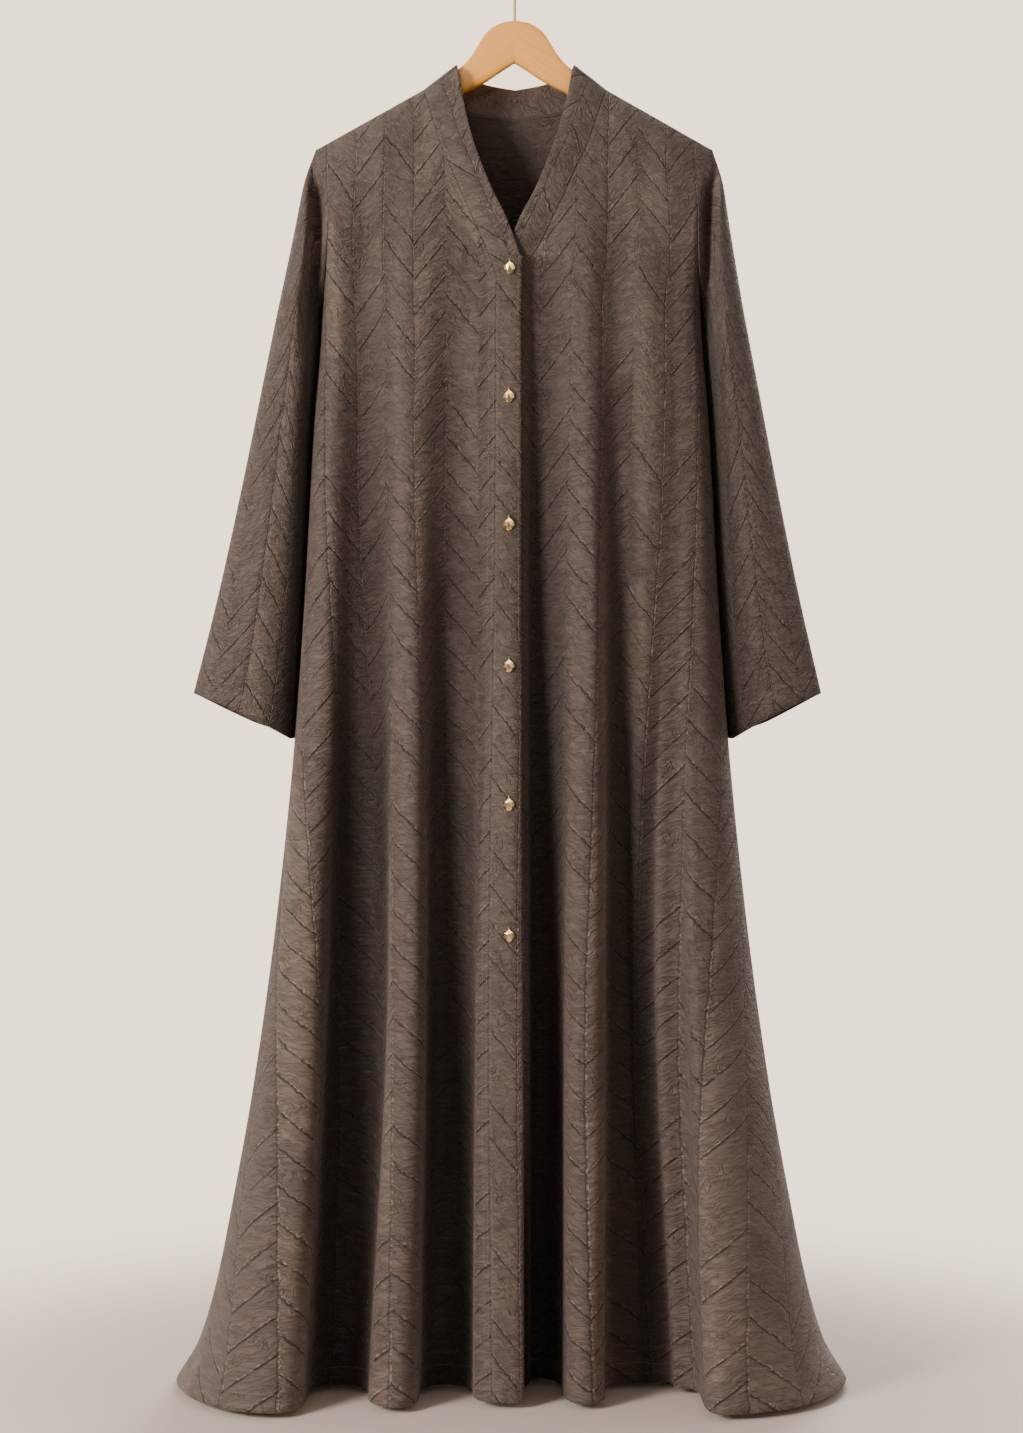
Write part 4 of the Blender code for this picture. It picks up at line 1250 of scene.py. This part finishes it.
def button_face(number, drop):
    """A cut metal button, pointed above and below, in a thin rim."""
    heights = [over_point(BUTTON_ACROSS, drop + step)[1] for step in (-0.01, 0.0, 0.01)]
    slope = math.atan2(heights[2] - heights[0], 0.02)
    bm = bmesh.new()

    def corner(x, z, depth):
        return bm.verts.new((x * BUTTON_HALF_WIDTH, -depth, z * BUTTON_HALF_HEIGHT))

    outline = BUTTON_OUTLINE + tuple((-x, z) for x, z in BUTTON_OUTLINE[-2:0:-1])
    rings = [[corner(scale * x, scale * z, depth) for x, z in outline] for scale, depth in BUTTON_RIM]
    crown = [corner(*place) for place in BUTTON_CROWN]
    tip = corner(-0.10, 0.10, BUTTON_DEPTH)
    tube(bm, rings)
    rim = rings[-1]
    # Facets between the rim, the crown's corners and the tip.
    for k, near in enumerate(crown):
        after = crown[(k + 1) % len(crown)]
        first, middle, last = rim[2 * k], rim[2 * k + 1], rim[(2 * k + 2) % len(rim)]
        bm.faces.new((first, middle, near))
        bm.faces.new((near, middle, after))
        bm.faces.new((middle, last, after))
        bm.faces.new((near, after, tip))
    bm.faces.new(rings[0])
    place = place_point(-BUTTON_ACROSS, heights[1] + SEAM_GAP, drop)
    for vert in bm.verts:
        y, z = vert.co.y, vert.co.z
        vert.co.y = y * math.cos(slope) + z * math.sin(slope)
        vert.co.z = z * math.cos(slope) - y * math.sin(slope)
        vert.co += place
    bmesh.ops.bevel(
        bm, geom=bm.edges[:], offset=0.00012, segments=1, affect="EDGES", clamp_overlap=True, profile=0.5
    )
    finished(f"button_face_{number}", bm, (gold,), "champagne_gold", f"button_{number}")


def buttonhole(drop):
    """The rim of a worked slit that runs from under the button towards the placket's edge."""
    ring = []
    start, end = BUTTON_ACROSS + 0.1 * BUTTONHOLE_LENGTH, BUTTON_ACROSS - 0.9 * BUTTONHOLE_LENGTH
    for k in range(BUTTONHOLE_STEPS):
        angle = 2.0 * math.pi * k / BUTTONHOLE_STEPS
        across = mix(start, end, 0.5 + 0.5 * math.cos(angle))
        fall = drop + BUTTONHOLE_HALF_HEIGHT * rounded(math.sin(angle), 4.0)
        ring.append(place_point(-across, over_point(across, fall)[1] + HOLE_LIFT, fall))
    return ring


for number, drop in enumerate(BUTTON_DROPS, start=1):
    button_face(number, drop)
holes = [buttonhole(drop) for drop in BUTTON_DROPS]
way = Vector(FORWARD)
worked = [([(p + way * 0.0002, way) for p in ring], True) for ring in holes]
sewn("buttonhole_threads", "jacquard_band", worked)
# Dark sheets over the buttonholes: painted shadow in the slits.
shadows = bmesh.new()
for ring in holes:
    shadows.faces.new([shadows.verts.new(p + way * 0.00012) for p in ring])
finished("buttonhole_slit_shadows", shadows, (slit,), "jacquard_band")


def hanger_arm(name, node, mirror, seed):
    """One arm with rounded edges; its grain runs down the arm from the mitre."""
    bm = bmesh.new()
    grain = bm.loops.layers.uv.new("grain")
    rings, places = [], []
    for i in range(ARM_STEPS + 1):
        across = mix(ARM[0].across, ARM[-1].across, (i / ARM_STEPS) ** 0.9)
        sizes = (column(ARM, "across", key, across) for key in ("top", "bottom", "squareness"))
        top, bottom, squareness = sizes
        middle, half = -0.5 * (top + bottom), 0.5 * (bottom - top)
        thin = ARM_HALF_THICK * min(half / 0.0075, 1.0) ** 0.5
        ring, spots = [], []
        for k in range(ARM_SIDES):
            angle = 2.0 * math.pi * (k + 0.5) / ARM_SIDES
            y = thin * rounded(math.cos(angle), squareness)
            z = middle + half * rounded(math.sin(angle), squareness)
            ring.append(bm.verts.new((mirror * (across + MITRE_GAP), y, NECK_Z + z)))
            spots.append((0.82 * across - 0.57 * z, 0.82 * z + 0.57 * across + 0.35 * y))
        rings.append(ring)
        places.append(spots)
    faces = [(rings[0], places[0]), (rings[-1], places[-1])]
    for i in range(ARM_STEPS):
        for k in range(ARM_SIDES):
            corners = ((i, k), (i, (k + 1) % ARM_SIDES), (i + 1, (k + 1) % ARM_SIDES), (i + 1, k))
            faces.append(([rings[n][m] for n, m in corners], [places[n][m] for n, m in corners]))
    for corners, spots in faces:
        for loop, spot in zip(bm.faces.new(corners).loops, spots):
            loop[grain].uv = spot
    finished(name, bm, (wooden(f"beech_{seed}", float(seed)),), SLOTS[node], node, smooth=50)


hanger_arm("arm_right_wood", "hanger_arm_right", -1.0, 3)
hanger_arm("arm_left_wood", "hanger_arm_left", 1.0, 8)


def hook_route():
    """The wire's middle line: up the shank, out to one side and round over the rail."""
    radius = HOOK_INNER_RADIUS + 0.5 * WIRE
    centre = -HOOK_INNER_RADIUS
    foot = NECK_Z - ARM[0].top + SEAM_GAP
    points = [(0.0, mix(foot, SHANK_BENDS, i / 4)) for i in range(4)]
    angle = math.radians(HOOK_START)
    join = (radius * math.cos(angle), centre + radius * math.sin(angle))
    before = (join[0] + math.sin(angle) * HOOK_EASES_IN, join[1] - math.cos(angle) * HOOK_EASES_IN)
    bow = ((0.0, SHANK_BENDS), (0.0, SHANK_BENDS + HOOK_EASES_IN), before, join)
    for i in range(16):
        t = i / 16
        weights = ((1 - t) ** 3, 3 * t * (1 - t) ** 2, 3 * t * t * (1 - t), t**3)
        points.append(tuple(sum(w * p[n] for w, p in zip(weights, bow)) for n in range(2)))
    for i in range(65):
        angle = math.radians(mix(HOOK_START, HOOK_END, i / 64))
        points.append((radius * math.cos(angle), centre + radius * math.sin(angle)))
    return [Vector((x, 0.0, z)) for x, z in points]


def hook_wire():
    """Round wire with a rounded end."""
    bm = bmesh.new()
    route = hook_route()
    deep = Vector((0.0, 1.0, 0.0))
    radius = 0.5 * WIRE
    rings = []
    for i, point in enumerate(route):
        ahead = (route[min(i + 1, len(route) - 1)] - route[max(i - 1, 0)]).normalized()
        side = ahead.cross(deep).normalized()
        rounds = [(0.0, radius)]
        if i == len(route) - 1:
            shares = (0.0, 0.4, 0.7, 0.9, 0.99)
            rounds = [(radius * (1.0 - s), radius * math.sqrt(1.0 - s * s)) for s in shares]
        for short, size in rounds:
            rings.append(ring_at(bm, point - ahead * short, side, size, deep, size, 20))
    tube(bm, rings)
    bm.faces.new(rings[0])
    bm.faces.new(rings[-1])
    finished("hook_wire", bm, (brass,), "brass", "hanger_hook", smooth=50)


hook_wire()


def pale_floor():
    """A pale floor that fades at its edge into the plain light behind it."""
    floor = Surface("pale_floor", (0.80, 0.68, 0.58), 0.75)
    floor.bump(floor.object_noise((90.0, 90.0, 90.0), 3.0), 0.0004)
    place = floor.node("TexCoord", "Object")
    distance = floor.node("VectorMath", "Value", {0: place}, operation="LENGTH")
    solid = Value(floor, floor.shader.outputs["BSDF"])
    clear = floor.node("BsdfTransparent", "BSDF")
    inputs = {0: floor.ramp(distance, 0.38, 1.25), 1: solid, 2: clear}
    both = floor.node("MixShader", "Shader", inputs)
    floor.set(floor.tree.nodes["Material Output"], "Surface", both)
    bm = bmesh.new()
    bmesh.ops.create_circle(bm, cap_ends=True, segments=96, radius=1.3)
    mesh = bpy.data.meshes.new("floor")
    bm.to_mesh(mesh)
    bm.free()
    mesh.materials.append(floor.material)
    placed("floor", mesh, (0.0, 0.0, FLOOR_Z))


def world_light():
    """A plain pale background, which lights the cloth little and is brighter above in polished things."""
    world = bpy.data.worlds.new("studio")
    bpy.context.scene.world = world
    sky = Nodes(world)
    upward = sky.node("SeparateXYZ", "Z", {0: sky.node("TexCoord", "Generated")})
    inputs = {"Value": upward, "From Min": -0.25, "From Max": 0.45, "To Min": 0.22, "To Max": 2.6}
    above = sky.node("MapRange", "Result", inputs)
    seen = sky.tree.nodes["Background"]
    sky.set(seen, "Color", PALE)
    sky.set(seen, "Strength", 1.0)
    shown = Value(sky, seen.outputs[0])
    for ray, strength in (("Is Glossy Ray", above), ("Is Diffuse Ray", 0.08)):
        lit = sky.node("Background", 0, {"Color": (1.0, 0.97, 0.94), "Strength": strength})
        shown = sky.node("MixShader", 0, {0: sky.node("LightPath", ray), 1: shown, 2: lit})
    sky.set(sky.tree.nodes["World Output"], "Surface", shown)


def lamps():
    """Soft lights round the part, and a narrow one on the hanger."""
    for name, place, size, power, colour in (
        ("key", (-2.05, -2.15, -0.25), 1.0, 112.0, (1.0, 0.965, 0.93)),
        ("fill", (2.8, -2.4, -0.2), 2.2, 2.0, (0.97, 0.98, 1.0)),
        ("back", (0.9, 3.6, 0.6), 2.0, 120.0, (1.0, 0.98, 0.96)),
        ("side", (3.4, 1.5, 0.2), 1.6, 16.0, (1.0, 0.98, 0.96)),
    ):
        lamp = bpy.data.lights.new(name, "AREA")
        lamp.shape = "DISK"
        lamp.size = size
        lamp.energy = power
        lamp.color = colour
        placed(name, lamp, place, MIDDLE)
    snoot = bpy.data.lights.new("hanger_light", "SPOT")
    snoot.energy = 60.0
    snoot.color = (1.0, 0.95, 0.88)
    snoot.spot_size = math.radians(4.6)
    snoot.spot_blend = 0.6
    snoot.shadow_soft_size = 0.05
    placed("hanger_light", snoot, (-0.5, -2.9, 0.45), (0.0, 0.0, -0.105))


def camera():
    view = bpy.data.cameras.new("camera")
    view.sensor_width = 36.0
    view.lens = 69.03
    made = placed("camera", view, (CENTRE_SHIFT, -3.05, -0.852))
    made.rotation_euler = (math.radians(90.0), 0.0, 0.0)
    bpy.context.scene.camera = made


pale_floor()
world_light()
lamps()
camera()
